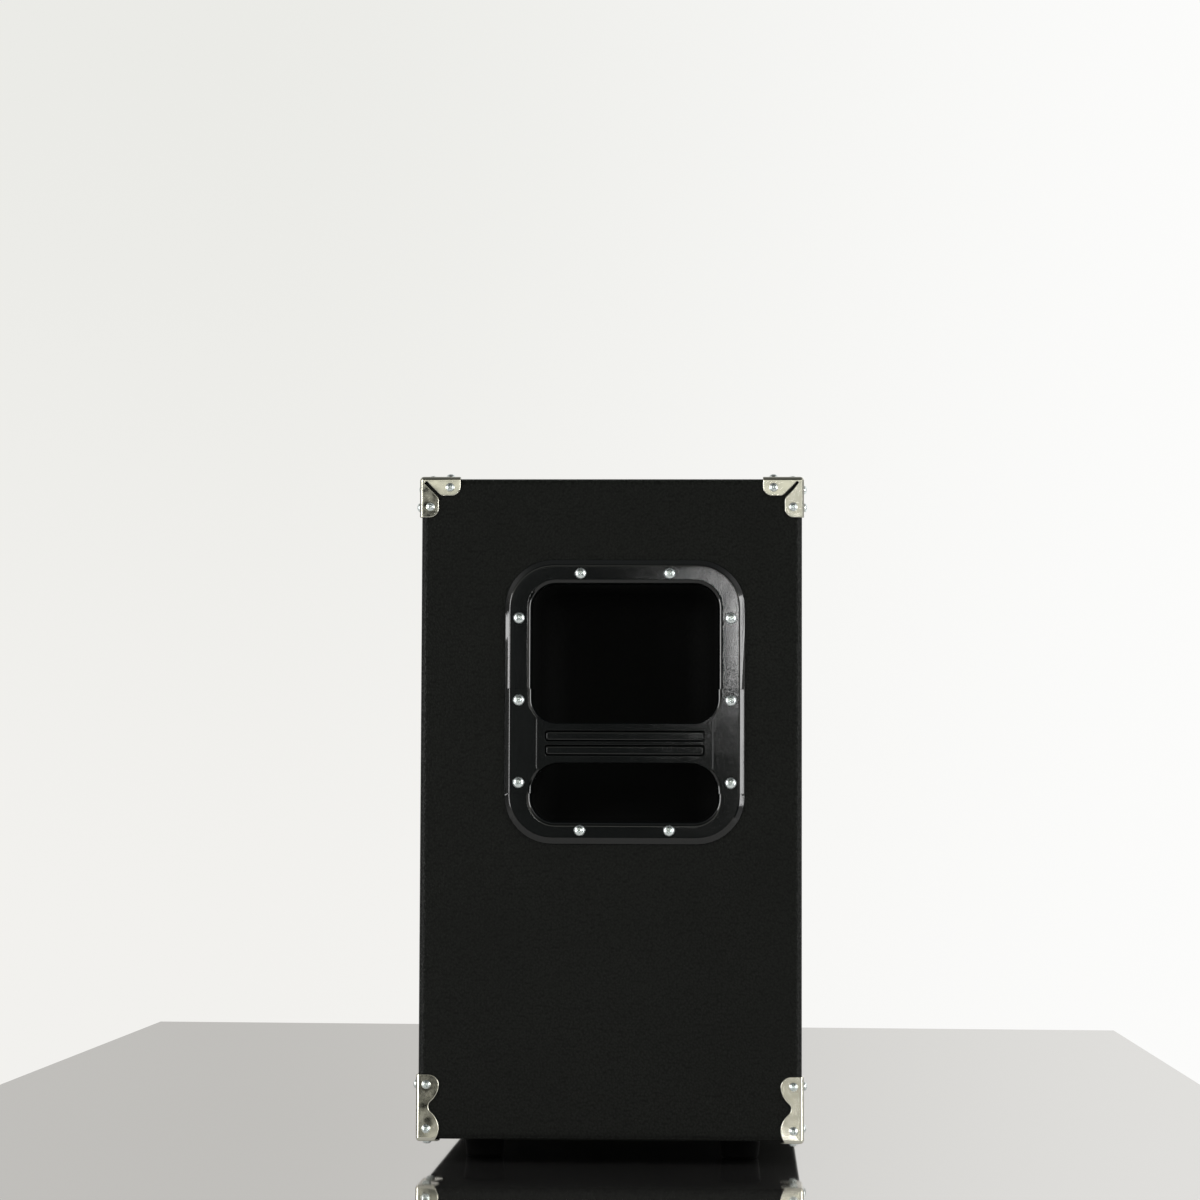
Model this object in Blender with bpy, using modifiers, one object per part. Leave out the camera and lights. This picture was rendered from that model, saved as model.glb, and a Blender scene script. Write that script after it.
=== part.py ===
"""Empty two-driver speaker cabinet, vinyl covered, as its separate pieces.

Units are metres and +Z is up. The front faces -Y, and the origin is on the floor below the cabinet's centre.
"""

import math

import bmesh
import bpy
from mathutils import Matrix, Vector

MM = 0.001

# Cabinet, measured over its covering
CABINET_WIDTH = 740 * MM
CABINET_DEPTH = 341 * MM
CABINET_HEIGHT = 589 * MM
EDGE_RADIUS = 6 * MM
SEAT_GAP = 0.3 * MM  # left between any two pieces that touch

# Plywood box and its vinyl
PANEL_THICKNESS = 18 * MM
FINGER_COUNT = 9  # an odd number, so that the side panels hold both ends of each corner joint
COVER_THICKNESS = 0.8 * MM
COVER_TURN_IN = 20 * MM  # how far the vinyl turns in at the front and at the back

# Baffle, battens and post
BAFFLE_RECESS = 24 * MM  # from the front edge to the baffle's face
BAFFLE_THICKNESS = 15 * MM
BAFFLE_CLEARANCE = 0.5 * MM
BATTEN_DEPTH = 20 * MM
BATTEN_WIDTH = 22 * MM
POST_SIDE = 40 * MM
POST_CHAMFER = 4 * MM

# Driver cut-outs, for two drivers of 12 inches
DRIVER_CUTOUT = 282 * MM
DRIVER_SPACING = 326 * MM
DRIVER_BOLT_CIRCLE = 297 * MM
DRIVER_BOLTS = 4
TEE_BARREL = 6.4 * MM
TEE_BORE = 4.2 * MM
TEE_FLANGE = 17 * MM
TEE_FLANGE_THICKNESS = 1.5 * MM
TEE_LENGTH = 10 * MM
TEE_CLEARANCE = 0.3 * MM

# Grille
GRILLE_CLEARANCE = 1.5 * MM
FRAME_THICKNESS = 12 * MM
FRAME_MEMBER = 34 * MM
FRAME_CORNER_RADIUS = 8 * MM
CLOTH_THICKNESS = 0.8 * MM
CLOTH_HEM = 12 * MM
STRIP_WIDTH = 16 * MM
STRIP_LENGTH = 560 * MM
STRIP_THICKNESS = 1.5 * MM

# Back panel
BACK_RECESS = 5 * MM
BACK_THICKNESS = 15 * MM
BACK_CLEARANCE = 1 * MM
SEAL_WIDTH = 10 * MM
SEAL_THICKNESS = 3 * MM
BACK_SCREW_INSET = 7 * MM
BACK_SCREW_HOLE = 4.5 * MM

# Recessed bar handle: its outline, then its openings from the top down
HANDLE_WIDTH = 215 * MM
HANDLE_HEIGHT = 254 * MM
HANDLE_CORNER = 43 * MM
HANDLE_FORWARD = 12.5 * MM  # from the cabinet's centre towards the front
HANDLE_DROP = 200 * MM  # from the cabinet's top to the handle's centre
FLANGE_RISE = 4.5 * MM
RIM_EDGE = 1.2 * MM
RIM_SLOPE = 5 * MM
LIP_RADIUS = 4.5 * MM
OPENING_WIDTH = 166 * MM
OPENING_TOP = 105 * MM  # above the handle's centre
UPPER_HEIGHT = 124 * MM
BAR_HEIGHT = 36 * MM
LOWER_HEIGHT = 52 * MM
UPPER_CORNER = 21 * MM
LOWER_CORNER = 24 * MM
CUP_WALL = 3.5 * MM
CUP_DEPTH = 88 * MM
CUP_STRAIGHT = 32 * MM  # the part of the depth that has no draft
CUP_DRAFT = 6.5 * MM
CUP_FLOOR_RISE = 48 * MM
CUTOUT_CLEARANCE = 1 * MM

# Bar piece of the handle, set into the cup's flange
BAR_PIECE_TOP = 11.2 * MM  # above the handle's centre
BAR_PIECE_BOTTOM = -81.7 * MM
LEDGE_RISE = 1.8 * MM
SIDE_STEP = 0.9 * MM
SIDE_WALL = 2.3 * MM
SIDE_DEPTH = 26 * MM
BAR_FRONT_RADIUS = 2.5 * MM
BAR_BACK_RADIUS = 9 * MM
FACE_WIDTH = 156.4 * MM
FACE_RECESS = 1.2 * MM
WINDOW_WIDTH = 144 * MM
WINDOW_HEIGHT = 21.7 * MM
WINDOW_RECESS = 1.4 * MM
WINDOW_CORNER = 3 * MM
PAD_LENGTH = 139 * MM
PAD_HEIGHT = 7.2 * MM
PAD_SPACING = 12.4 * MM
PAD_RISE = 1.1 * MM

# Handle screw holes: two along the top and the bottom, three down each side
HANDLE_HOLE = 5 * MM
END_HOLE_X = 39.8 * MM
END_HOLE_Z = 114.6 * MM
SIDE_HOLE_X = 94.6 * MM
SIDE_HOLES_Z = (74.6 * MM, 1.3 * MM, -72.2 * MM)

# Metal corners
CORNER_SHEET = 1.4 * MM
CORNER_CLEARANCE = 0.4 * MM
CORNER_FOLD_RADIUS = 3.5 * MM
CORNER_HOLE = 3.8 * MM
TOP_LEG_LENGTH = 35 * MM
TOP_LEG_WIDTH = 15.5 * MM
TOP_LEG_ROUND = 8 * MM
TOP_SLOT_WIDTH = 2.6 * MM
TOP_HOLE_ALONG = 25.5 * MM
TOP_HOLE_IN = 8 * MM
BOTTOM_LEG_LENGTH = 57.5 * MM
LOBE_RADIUS = 9 * MM
LOBE_REACH = 16.3 * MM
LOBE_SPACING = 39 * MM
WAIST_REACH = 6.5 * MM
BOTTOM_HOLE_IN = 7.5 * MM

# Feet
FOOT_HEIGHT = 20.7 * MM
FOOT_TOP = 38 * MM
FOOT_BOTTOM = 33 * MM
FOOT_INSET_X = 70 * MM
FOOT_INSET_Y = 55 * MM
FOOT_RECESS = 18 * MM
FOOT_RECESS_DEPTH = 11 * MM
FOOT_BORE = 6 * MM
FOOT_SCREW_WASHER = 15 * MM
FOOT_SCREW_HEAD = 9 * MM
FOOT_SCREW_HEAD_RISE = 3 * MM
FOOT_SCREW_SHANK = 4.6 * MM
FOOT_SCREW_BITE = 13 * MM  # into the plywood
WASHER_THICKNESS = 1.2 * MM

# Jack dish in the back panel, and its jacks
DISH_WIDTH = 116 * MM
DISH_HEIGHT = 82 * MM
DISH_CORNER = 12 * MM
DISH_FLANGE = 2.5 * MM
DISH_OPENING_WIDTH = 86 * MM
DISH_OPENING_HEIGHT = 52 * MM
DISH_DEPTH = 26 * MM
DISH_WALL = 2.5 * MM
DISH_DRAFT = 4 * MM
DISH_UP = 60 * MM  # above the middle of the cabinet
DISH_HOLE = 4 * MM
DISH_HOLE_X = 50 * MM
DISH_HOLE_Z = 33 * MM
JACK_SPACING = 40 * MM
JACK_BORE = 6.6 * MM
JACK_BUSHING = 9.4 * MM
JACK_BUSHING_OUT = 7 * MM
JACK_BODY = 17 * MM
JACK_BODY_LENGTH = 24 * MM
JACK_BORE_DEPTH = 28 * MM
JACK_NUT = 12.7 * MM  # across the flats
JACK_NUT_THICKNESS = 2.4 * MM
JACK_CLEARANCE = 0.2 * MM

# Facets
EDGE_STEPS = 3
ARC_STEPS = 6
SMALL_ARC_STEPS = 4
HOLE_SIDES = 6
DRIVER_SIDES = 48
TURNED_SIDES = 16
OVERSHOOT = 2 * MM  # how far a cutter runs past what it cuts

# Planes and half sizes that follow from the sizes above
HALF_WIDTH = CABINET_WIDTH / 2
HALF_DEPTH = CABINET_DEPTH / 2
CABINET_BOTTOM = FOOT_HEIGHT + SEAT_GAP
CABINET_TOP = CABINET_BOTTOM + CABINET_HEIGHT
CABINET_MIDDLE = (CABINET_BOTTOM + CABINET_TOP) / 2
SKIN = COVER_THICKNESS + SEAT_GAP
WOOD_HALF_WIDTH = HALF_WIDTH - SKIN
WOOD_HALF_DEPTH = HALF_DEPTH - SKIN
WOOD_BOTTOM = CABINET_BOTTOM + SKIN
WOOD_TOP = CABINET_TOP - SKIN
INSIDE_HALF_WIDTH = WOOD_HALF_WIDTH - PANEL_THICKNESS
INSIDE_BOTTOM = WOOD_BOTTOM + PANEL_THICKNESS
INSIDE_TOP = WOOD_TOP - PANEL_THICKNESS

BAFFLE_FRONT = -HALF_DEPTH + BAFFLE_RECESS
BAFFLE_BACK = BAFFLE_FRONT + BAFFLE_THICKNESS
BACK_FACE = HALF_DEPTH - BACK_RECESS
BACK_OUTSIDE = BACK_FACE - SKIN
BACK_INSIDE = BACK_OUTSIDE - BACK_THICKNESS
SEAL_INSIDE = BACK_INSIDE - SEAT_GAP - SEAL_THICKNESS
BACK_BATTEN_FACE = SEAL_INSIDE - SEAT_GAP

LOWER_TOP = OPENING_TOP - UPPER_HEIGHT - BAR_HEIGHT
OPENING_BOTTOM = LOWER_TOP - LOWER_HEIGHT
UPPER_BOTTOM = OPENING_TOP - UPPER_HEIGHT
BAR_MIDDLE = (UPPER_BOTTOM + LOWER_TOP) / 2
BAR_FACE_RISE = FLANGE_RISE - FACE_RECESS
WINDOW_FLOOR = BAR_FACE_RISE - WINDOW_RECESS

CORNER_OUT = CORNER_CLEARANCE + CORNER_SHEET
FOLD_ZONE = CORNER_FOLD_RADIUS - CORNER_OUT + 0.5 * MM


# Scene and materials

for old in list(bpy.data.objects):
    bpy.data.objects.remove(old, do_unlink=True)

parts = bpy.data.collections.new("speaker_cabinet")
cutters = bpy.data.collections.new("speaker_cabinet_cutters")
bpy.context.scene.collection.children.link(parts)
bpy.context.scene.collection.children.link(cutters)


def material(name, colour, roughness, metallic=0.0):
    made = bpy.data.materials.new(name)
    made.use_nodes = True
    shader = made.node_tree.nodes["Principled BSDF"]
    shader.inputs["Base Color"].default_value = (*colour, 1.0)
    shader.inputs["Roughness"].default_value = roughness
    shader.inputs["Metallic"].default_value = metallic
    return made


PLYWOOD = material("birch_plywood", (0.62, 0.45, 0.27), 0.65)
BLACK_PLYWOOD = material("black_painted_plywood", (0.012, 0.012, 0.012), 0.75)
PINE = material("pine", (0.66, 0.47, 0.26), 0.7)
VINYL = material("black_vinyl", (0.013, 0.014, 0.011), 0.5)
CLOTH = material("grille_cloth", (0.015, 0.015, 0.016), 0.9)
HANDLE_PLASTIC = material("black_moulded_plastic", (0.006, 0.007, 0.007), 0.25)
NICKEL = material("nickel_plated_steel", (0.55, 0.55, 0.48), 0.25, 1.0)
ZINC = material("zinc_plated_steel", (0.6, 0.62, 0.64), 0.35, 1.0)
RUBBER = material("black_rubber", (0.02, 0.02, 0.02), 0.8)
FOAM = material("black_foam", (0.03, 0.03, 0.03), 0.95)
NYLON = material("black_nylon_tape", (0.02, 0.02, 0.02), 0.9)


# Modelling helpers

def mesh_of(bm, name):
    bmesh.ops.recalc_face_normals(bm, faces=bm.faces)
    mesh = bpy.data.meshes.new(name)
    bm.to_mesh(mesh)
    bm.free()
    return mesh


def add_piece(name, mesh, finish, smooth=False):
    piece = bpy.data.objects.new(name, mesh)
    if not mesh.materials:
        mesh.materials.append(finish)
    if smooth:
        mesh.shade_smooth()
        mesh.set_sharp_from_angle(angle=math.radians(35))
    parts.objects.link(piece)
    return piece


def add_cutter(name, mesh):
    cutter = bpy.data.objects.new(name, mesh)
    cutter.display_type = "WIRE"
    cutter.hide_render = True
    cutters.objects.link(cutter)
    return cutter


def combine(piece, other, operation):
    modifier = piece.modifiers.new(f"{operation.lower()} {other.name}", "BOOLEAN")
    modifier.operation = operation
    modifier.object = other
    modifier.solver = "EXACT"


def cut(piece, *others):
    for other in others:
        combine(piece, other, "DIFFERENCE")


def box_mesh(name, low, high, radius=0.0, steps=EDGE_STEPS, along="XYZ"):
    """A box between two corners. Its edges that run along the named axes are rounded."""
    low, high = Vector(low), Vector(high)
    bm = bmesh.new()
    bmesh.ops.create_cube(bm, size=1.0)
    bmesh.ops.scale(bm, vec=high - low, verts=bm.verts)
    bmesh.ops.translate(bm, vec=(low + high) / 2, verts=bm.verts)
    if radius > 0:
        chosen = [Vector([axis == letter for axis in "XYZ"]) for letter in along]
        rounded = [
            edge for edge in bm.edges
            if any(abs((edge.verts[1].co - edge.verts[0].co).normalized().dot(way)) > 0.99 for way in chosen)
        ]
        bmesh.ops.bevel(bm, geom=rounded, offset=radius, segments=steps, profile=0.5, affect="EDGES")
    return mesh_of(bm, name)


def boxes_mesh(name, corner_pairs):
    """Several separate boxes in one mesh, for a cutter."""
    bm = bmesh.new()
    for low, high in corner_pairs:
        low, high = Vector(low), Vector(high)
        placing = Matrix.Translation((low + high) / 2) @ Matrix.Diagonal((*(high - low), 1.0))
        bmesh.ops.create_cube(bm, size=1.0, matrix=placing)
    return mesh_of(bm, name)


def arc(centre, radius, start, end, steps=ARC_STEPS):
    """Points on an arc, from one angle in degrees to another."""
    angles = [math.radians(start + (end - start) * i / steps) for i in range(steps + 1)]
    return [(centre[0] + radius * math.cos(a), centre[1] + radius * math.sin(a)) for a in angles]


def rounded_rectangle(left, right, bottom, top, radius, steps=ARC_STEPS):
    centres = (
        ((right - radius, bottom + radius), 270),
        ((right - radius, top - radius), 0),
        ((left + radius, top - radius), 90),
        ((left + radius, bottom + radius), 180),
    )
    return [point for centre, start in centres for point in arc(centre, radius, start, start + 90, steps)]


def plate_mesh(name, outline, low, high, placing=None):
    """A flat outline in the plane of the first two axes, as thick as from low to high on the third."""
    curve = bpy.data.curves.new(name, "CURVE")
    curve.dimensions = "2D"
    curve.fill_mode = "BOTH"
    curve.extrude = (high - low) / 2
    spline = curve.splines.new("POLY")
    spline.points.add(len(outline) - 1)
    for point, (x, y) in zip(spline.points, outline):
        point.co = (x, y, 0.0, 1.0)
    spline.use_cyclic_u = True
    shape = bpy.data.objects.new(name, curve)
    shape.location.z = (low + high) / 2
    cutters.objects.link(shape)
    bpy.context.view_layer.update()
    mesh = bpy.data.meshes.new_from_object(shape.evaluated_get(bpy.context.evaluated_depsgraph_get()))
    matrix = shape.matrix_world.copy()
    bpy.data.objects.remove(shape, do_unlink=True)
    bm = bmesh.new()
    bm.from_mesh(mesh)
    bmesh.ops.remove_doubles(bm, verts=bm.verts, dist=0.00001)
    bmesh.ops.transform(bm, matrix=(placing or Matrix()) @ matrix, verts=bm.verts)
    bpy.data.meshes.remove(mesh)
    return mesh_of(bm, name)


def loft_mesh(name, sections, placing=None):
    """A solid through outlines of equal point count, each with its height on the third axis."""
    bm = bmesh.new()
    rings = [[bm.verts.new((x, y, height)) for x, y in outline] for height, outline in sections]
    count = len(rings[0])
    for lower, upper in zip(rings, rings[1:]):
        for i in range(count):
            j = (i + 1) % count
            bm.faces.new((lower[i], lower[j], upper[j], upper[i]))
    bm.faces.new(rings[0])
    bm.faces.new(rings[-1])
    if placing:
        bmesh.ops.transform(bm, matrix=placing, verts=bm.verts)
    return mesh_of(bm, name)


def turned_mesh(name, profile, sides=TURNED_SIDES, hollow=False):
    """A turned shape about +Z, from a profile of (radius, height) that runs down its outer side."""
    mesh = bpy.data.meshes.new(name)
    edges = [(i, i + 1) for i in range(len(profile) - 1)]
    if hollow:
        edges.append((len(profile) - 1, 0))
    mesh.from_pydata([(radius, 0.0, height) for radius, height in profile], edges, [])
    shape = bpy.data.objects.new(name, mesh)
    turning = shape.modifiers.new("turned", "SCREW")
    turning.steps = sides
    turning.render_steps = sides
    turning.use_merge_vertices = True
    turning.merge_threshold = 0.00001
    cutters.objects.link(shape)
    bpy.context.view_layer.update()
    turned = bpy.data.meshes.new_from_object(shape.evaluated_get(bpy.context.evaluated_depsgraph_get()))
    bpy.data.objects.remove(shape, do_unlink=True)
    turned.name = name
    return turned


def rods_mesh(name, places, radius, low, high, sides=HOLE_SIDES):
    """Parallel round rods along each placing matrix's third axis, in one mesh, for drilling."""
    bm = bmesh.new()
    for place in places:
        bmesh.ops.create_cone(
            bm, cap_ends=True, segments=sides, radius1=radius, radius2=radius, depth=high - low,
            matrix=place @ Matrix.Translation((0, 0, (low + high) / 2)),
        )
    return mesh_of(bm, name)


def axes_matrix(origin, x_axis, y_axis, z_axis):
    matrix = Matrix((x_axis, y_axis, z_axis)).transposed().to_4x4()
    matrix.translation = origin
    return matrix


LEFT, RIGHT = -1, 1
BACKWARD = axes_matrix((0, 0, 0), (-1, 0, 0), (0, 0, 1), (0, 1, 0))  # third axis out of the back, second up


# Plywood box: four panels with finger joints, rounded together over their outer edges

envelope = add_cutter("wood_envelope", box_mesh(
    "wood_envelope",
    (-WOOD_HALF_WIDTH, -WOOD_HALF_DEPTH, WOOD_BOTTOM),
    (WOOD_HALF_WIDTH, WOOD_HALF_DEPTH, WOOD_TOP),
    EDGE_RADIUS - SKIN,
))


def finger_slots(first):
    """Y ranges of every second finger, starting with the first or with the second, widened by the glue gap."""
    pitch = 2 * WOOD_HALF_DEPTH / FINGER_COUNT
    for i in range(first, FINGER_COUNT, 2):
        start = -WOOD_HALF_DEPTH + i * pitch
        yield (
            start - (OVERSHOOT if i == 0 else SEAT_GAP / 2),
            start + pitch + (OVERSHOOT if i == FINGER_COUNT - 1 else SEAT_GAP / 2),
        )


def level_notches():
    """The room that the side panels' fingers need in the top and bottom panels."""
    for side in (LEFT, RIGHT):
        reach = sorted((side * (INSIDE_HALF_WIDTH - SEAT_GAP), side * (WOOD_HALF_WIDTH + OVERSHOOT)))
        for start, end in finger_slots(0):
            for low, high in ((WOOD_BOTTOM - OVERSHOOT, INSIDE_BOTTOM + OVERSHOOT),
                              (INSIDE_TOP - OVERSHOOT, WOOD_TOP + OVERSHOOT)):
                yield (reach[0], start, low), (reach[1], end, high)


def side_notches():
    """The room that the top and bottom panels' fingers need in the side panels."""
    for side in (LEFT, RIGHT):
        reach = sorted((side * (INSIDE_HALF_WIDTH - OVERSHOOT), side * (WOOD_HALF_WIDTH + OVERSHOOT)))
        for start, end in finger_slots(1):
            for low, high in ((WOOD_BOTTOM - OVERSHOOT, INSIDE_BOTTOM + SEAT_GAP),
                              (INSIDE_TOP - SEAT_GAP, WOOD_TOP + OVERSHOOT)):
                yield (reach[0], start, low), (reach[1], end, high)


def panel(name, low, high, notches):
    piece = add_piece(name, box_mesh(name, low, high), PLYWOOD)
    combine(piece, envelope, "INTERSECT")
    cut(piece, notches)
    return piece


PAST_WIDTH = WOOD_HALF_WIDTH + OVERSHOOT
PAST_DEPTH = WOOD_HALF_DEPTH + OVERSHOOT
level_fingers = add_cutter("level_notches", boxes_mesh("level_notches", level_notches()))
side_fingers = add_cutter("side_notches", boxes_mesh("side_notches", side_notches()))

top_panel = panel(
    "top_panel", (-PAST_WIDTH, -PAST_DEPTH, INSIDE_TOP), (PAST_WIDTH, PAST_DEPTH, WOOD_TOP + OVERSHOOT), level_fingers)
bottom_panel = panel(
    "bottom_panel", (-PAST_WIDTH, -PAST_DEPTH, WOOD_BOTTOM - OVERSHOOT), (PAST_WIDTH, PAST_DEPTH, INSIDE_BOTTOM),
    level_fingers)
side_panels = {
    LEFT: panel(
        "left_side_panel", (-PAST_WIDTH, -PAST_DEPTH, WOOD_BOTTOM - OVERSHOOT),
        (-INSIDE_HALF_WIDTH, PAST_DEPTH, WOOD_TOP + OVERSHOOT), side_fingers),
    RIGHT: panel(
        "right_side_panel", (INSIDE_HALF_WIDTH, -PAST_DEPTH, WOOD_BOTTOM - OVERSHOOT),
        (PAST_WIDTH, PAST_DEPTH, WOOD_TOP + OVERSHOOT), side_fingers),
}


# Vinyl covering: one skin round the outside that turns in over the front and back edges

def covered_box(name, inset, radius):
    return box_mesh(
        name,
        (-HALF_WIDTH + inset, -HALF_DEPTH + inset, CABINET_BOTTOM + inset),
        (HALF_WIDTH - inset, HALF_DEPTH - inset, CABINET_TOP - inset),
        radius,
    )


def inside_box(name, inset, low_y, high_y):
    """A box along the cabinet's open depth, set in from the plywood's inner faces."""
    return box_mesh(
        name,
        (-INSIDE_HALF_WIDTH + inset, low_y, INSIDE_BOTTOM + inset),
        (INSIDE_HALF_WIDTH - inset, high_y, INSIDE_TOP - inset),
    )


covering = add_piece("vinyl_covering", covered_box("vinyl_covering", 0, EDGE_RADIUS), VINYL, smooth=True)
carcass = add_cutter(
    "carcass_room", covered_box("carcass_room", COVER_THICKNESS, EDGE_RADIUS - COVER_THICKNESS))
cut(carcass, add_cutter(
    "carcass_room_inside",
    inside_box("carcass_room_inside", SEAT_GAP, -HALF_DEPTH - OVERSHOOT, HALF_DEPTH + OVERSHOOT)))
through_room = add_cutter(
    "covering_through", inside_box("covering_through", SKIN, -HALF_DEPTH - OVERSHOOT, HALF_DEPTH + OVERSHOOT))
middle_room = add_cutter(
    "covering_middle",
    inside_box("covering_middle", SEAT_GAP / 2, -HALF_DEPTH + COVER_TURN_IN, HALF_DEPTH - COVER_TURN_IN))
cut(covering, carcass, through_room, middle_room)


# Baffle with its driver cut-outs and tee nuts

baffle_half_width = INSIDE_HALF_WIDTH - BAFFLE_CLEARANCE
baffle_bottom = INSIDE_BOTTOM + BAFFLE_CLEARANCE
baffle_top = INSIDE_TOP - BAFFLE_CLEARANCE
inside_middle = (INSIDE_BOTTOM + INSIDE_TOP) / 2

baffle = add_piece("baffle", box_mesh(
    "baffle", (-baffle_half_width, BAFFLE_FRONT, baffle_bottom), (baffle_half_width, BAFFLE_BACK, baffle_top)),
    BLACK_PLYWOOD)

driver_places = [
    BACKWARD @ Matrix.Translation((side * DRIVER_SPACING / 2, inside_middle, BAFFLE_BACK))
    for side in (LEFT, RIGHT)
]
bolt_angles = [math.radians(45 + 360 * i / DRIVER_BOLTS) for i in range(DRIVER_BOLTS)]
tee_places = [
    place @ Matrix.Translation((DRIVER_BOLT_CIRCLE / 2 * math.cos(a), DRIVER_BOLT_CIRCLE / 2 * math.sin(a), 0))
    for place in driver_places for a in bolt_angles
]
cut(baffle, add_cutter("driver_cutouts", rods_mesh(
    "driver_cutouts", driver_places, DRIVER_CUTOUT / 2, -BAFFLE_THICKNESS - OVERSHOOT, OVERSHOOT, DRIVER_SIDES)))
cut(baffle, add_cutter("tee_nut_holes", rods_mesh(
    "tee_nut_holes", tee_places, TEE_BARREL / 2 + TEE_CLEARANCE, -BAFFLE_THICKNESS - OVERSHOOT, OVERSHOOT, 8)))

tee_mesh = turned_mesh("tee_nut", [
    (TEE_FLANGE / 2, TEE_FLANGE_THICKNESS),
    (TEE_FLANGE / 2, 0),
    (TEE_BARREL / 2, 0),
    (TEE_BARREL / 2, -TEE_LENGTH),
    (TEE_BORE / 2, -TEE_LENGTH),
    (TEE_BORE / 2, TEE_FLANGE_THICKNESS),
], 8, hollow=True)
for number, place in enumerate(tee_places, 1):
    tee_nut = add_piece(f"tee_nut_{number}", tee_mesh, ZINC, smooth=True)
    tee_nut.matrix_world = place @ Matrix.Translation((0, 0, SEAT_GAP))


# Battens that carry the baffle and the back panel, and the post between the two

side_battens = {LEFT: [], RIGHT: []}


def battens(prefix, low_y, high_y):
    """Two full-width battens, above and below, and two side battens between them."""
    wide = INSIDE_HALF_WIDTH - SEAT_GAP
    low, high = INSIDE_BOTTOM + SEAT_GAP, INSIDE_TOP - SEAT_GAP
    inner = wide - BATTEN_WIDTH
    upright_low, upright_high = low + BATTEN_WIDTH + SEAT_GAP, high - BATTEN_WIDTH - SEAT_GAP
    ranges = {
        "bottom": ((-wide, low_y, low), (wide, high_y, low + BATTEN_WIDTH)),
        "top": ((-wide, low_y, high - BATTEN_WIDTH), (wide, high_y, high)),
        "left": ((-wide, low_y, upright_low), (-inner, high_y, upright_high)),
        "right": ((inner, low_y, upright_low), (wide, high_y, upright_high)),
    }
    for place, (start, end) in ranges.items():
        name = f"{prefix}_batten_{place}"
        batten = add_piece(name, box_mesh(name, start, end), PINE)
        if place in ("left", "right"):
            side_battens[LEFT if place == "left" else RIGHT].append(batten)


battens("baffle", BAFFLE_BACK + SEAT_GAP, BAFFLE_BACK + SEAT_GAP + BATTEN_DEPTH)
battens("back", BACK_BATTEN_FACE - BATTEN_DEPTH, BACK_BATTEN_FACE)

add_piece("centre_post", box_mesh(
    "centre_post",
    (-POST_SIDE / 2, BAFFLE_BACK + SEAT_GAP, inside_middle - POST_SIDE / 2),
    (POST_SIDE / 2, BACK_INSIDE - SEAT_GAP, inside_middle + POST_SIDE / 2),
    POST_CHAMFER, 1, "Y"), PINE)


# Grille: a frame with a centre stile, cloth pulled over it, and hook-and-loop strips behind

strip_back = BAFFLE_FRONT - SEAT_GAP
strip_middle = strip_back - STRIP_THICKNESS
hook_back = strip_middle - SEAT_GAP
hook_front = hook_back - STRIP_THICKNESS
frame_back = hook_front - SEAT_GAP
frame_front = frame_back - FRAME_THICKNESS
cloth_reach = SEAT_GAP + CLOTH_THICKNESS
frame_inset = SKIN + GRILLE_CLEARANCE + cloth_reach
frame_half_width = INSIDE_HALF_WIDTH - frame_inset
frame_bottom = INSIDE_BOTTOM + frame_inset
frame_top = INSIDE_TOP - frame_inset


def frame_box(name, grow, low_y, high_y, radius=0.0):
    return box_mesh(
        name, (-frame_half_width - grow, low_y, frame_bottom - grow),
        (frame_half_width + grow, high_y, frame_top + grow), radius, EDGE_STEPS, "Y")


grille_frame = add_piece("grille_frame", frame_box("grille_frame", 0, frame_front, frame_back), BLACK_PLYWOOD)
for side in (LEFT, RIGHT):
    window = sorted((side * FRAME_MEMBER / 2, side * (frame_half_width - FRAME_MEMBER)))
    name = f"grille_window_{'left' if side == LEFT else 'right'}"
    cut(grille_frame, add_cutter(name, box_mesh(
        name, (window[0], frame_front - OVERSHOOT, frame_bottom + FRAME_MEMBER),
        (window[1], frame_back + OVERSHOOT, frame_top - FRAME_MEMBER), FRAME_CORNER_RADIUS, EDGE_STEPS, "Y")))

cloth = add_piece("grille_cloth", frame_box(
    "grille_cloth", cloth_reach, frame_front - cloth_reach, frame_back + cloth_reach, cloth_reach), CLOTH)
cut(
    cloth,
    add_cutter("grille_frame_room", frame_box(
        "grille_frame_room", SEAT_GAP, frame_front - SEAT_GAP, frame_back + SEAT_GAP)),
    add_cutter("cloth_hem_room", frame_box(
        "cloth_hem_room", -CLOTH_HEM, frame_back - SEAT_GAP, frame_back + cloth_reach + OVERSHOOT)),
)

strip_inset = CLOTH_HEM + SEAT_GAP + STRIP_WIDTH / 2
for place, height in (("bottom", frame_bottom + strip_inset), ("top", frame_top - strip_inset)):
    for kind, low_y, high_y in (("grille_hook_strip", hook_front, hook_back),
                                ("baffle_loop_strip", strip_middle, strip_back)):
        name = f"{kind}_{place}"
        add_piece(name, box_mesh(
            name, (-STRIP_LENGTH / 2, low_y, height - STRIP_WIDTH / 2),
            (STRIP_LENGTH / 2, high_y, height + STRIP_WIDTH / 2)), NYLON)


# Back panel, its vinyl tray and its foam seal

back_half_width = INSIDE_HALF_WIDTH - 2 * SKIN - BACK_CLEARANCE
back_bottom = INSIDE_BOTTOM + 2 * SKIN + BACK_CLEARANCE
back_top = INSIDE_TOP - 2 * SKIN - BACK_CLEARANCE


def back_box(name, grow, low_y, high_y):
    return box_mesh(
        name, (-back_half_width - grow, low_y, back_bottom - grow), (back_half_width + grow, high_y, back_top + grow))


back_panel = add_piece("back_panel", back_box("back_panel", 0, BACK_INSIDE, BACK_OUTSIDE), PLYWOOD)
back_covering = add_piece(
    "back_panel_covering", back_box("back_panel_covering", SKIN, BACK_INSIDE, BACK_FACE), VINYL)
cut(back_covering, add_cutter("back_panel_room", back_box(
    "back_panel_room", SEAT_GAP, BACK_INSIDE - OVERSHOOT, BACK_OUTSIDE + SEAT_GAP)))

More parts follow.
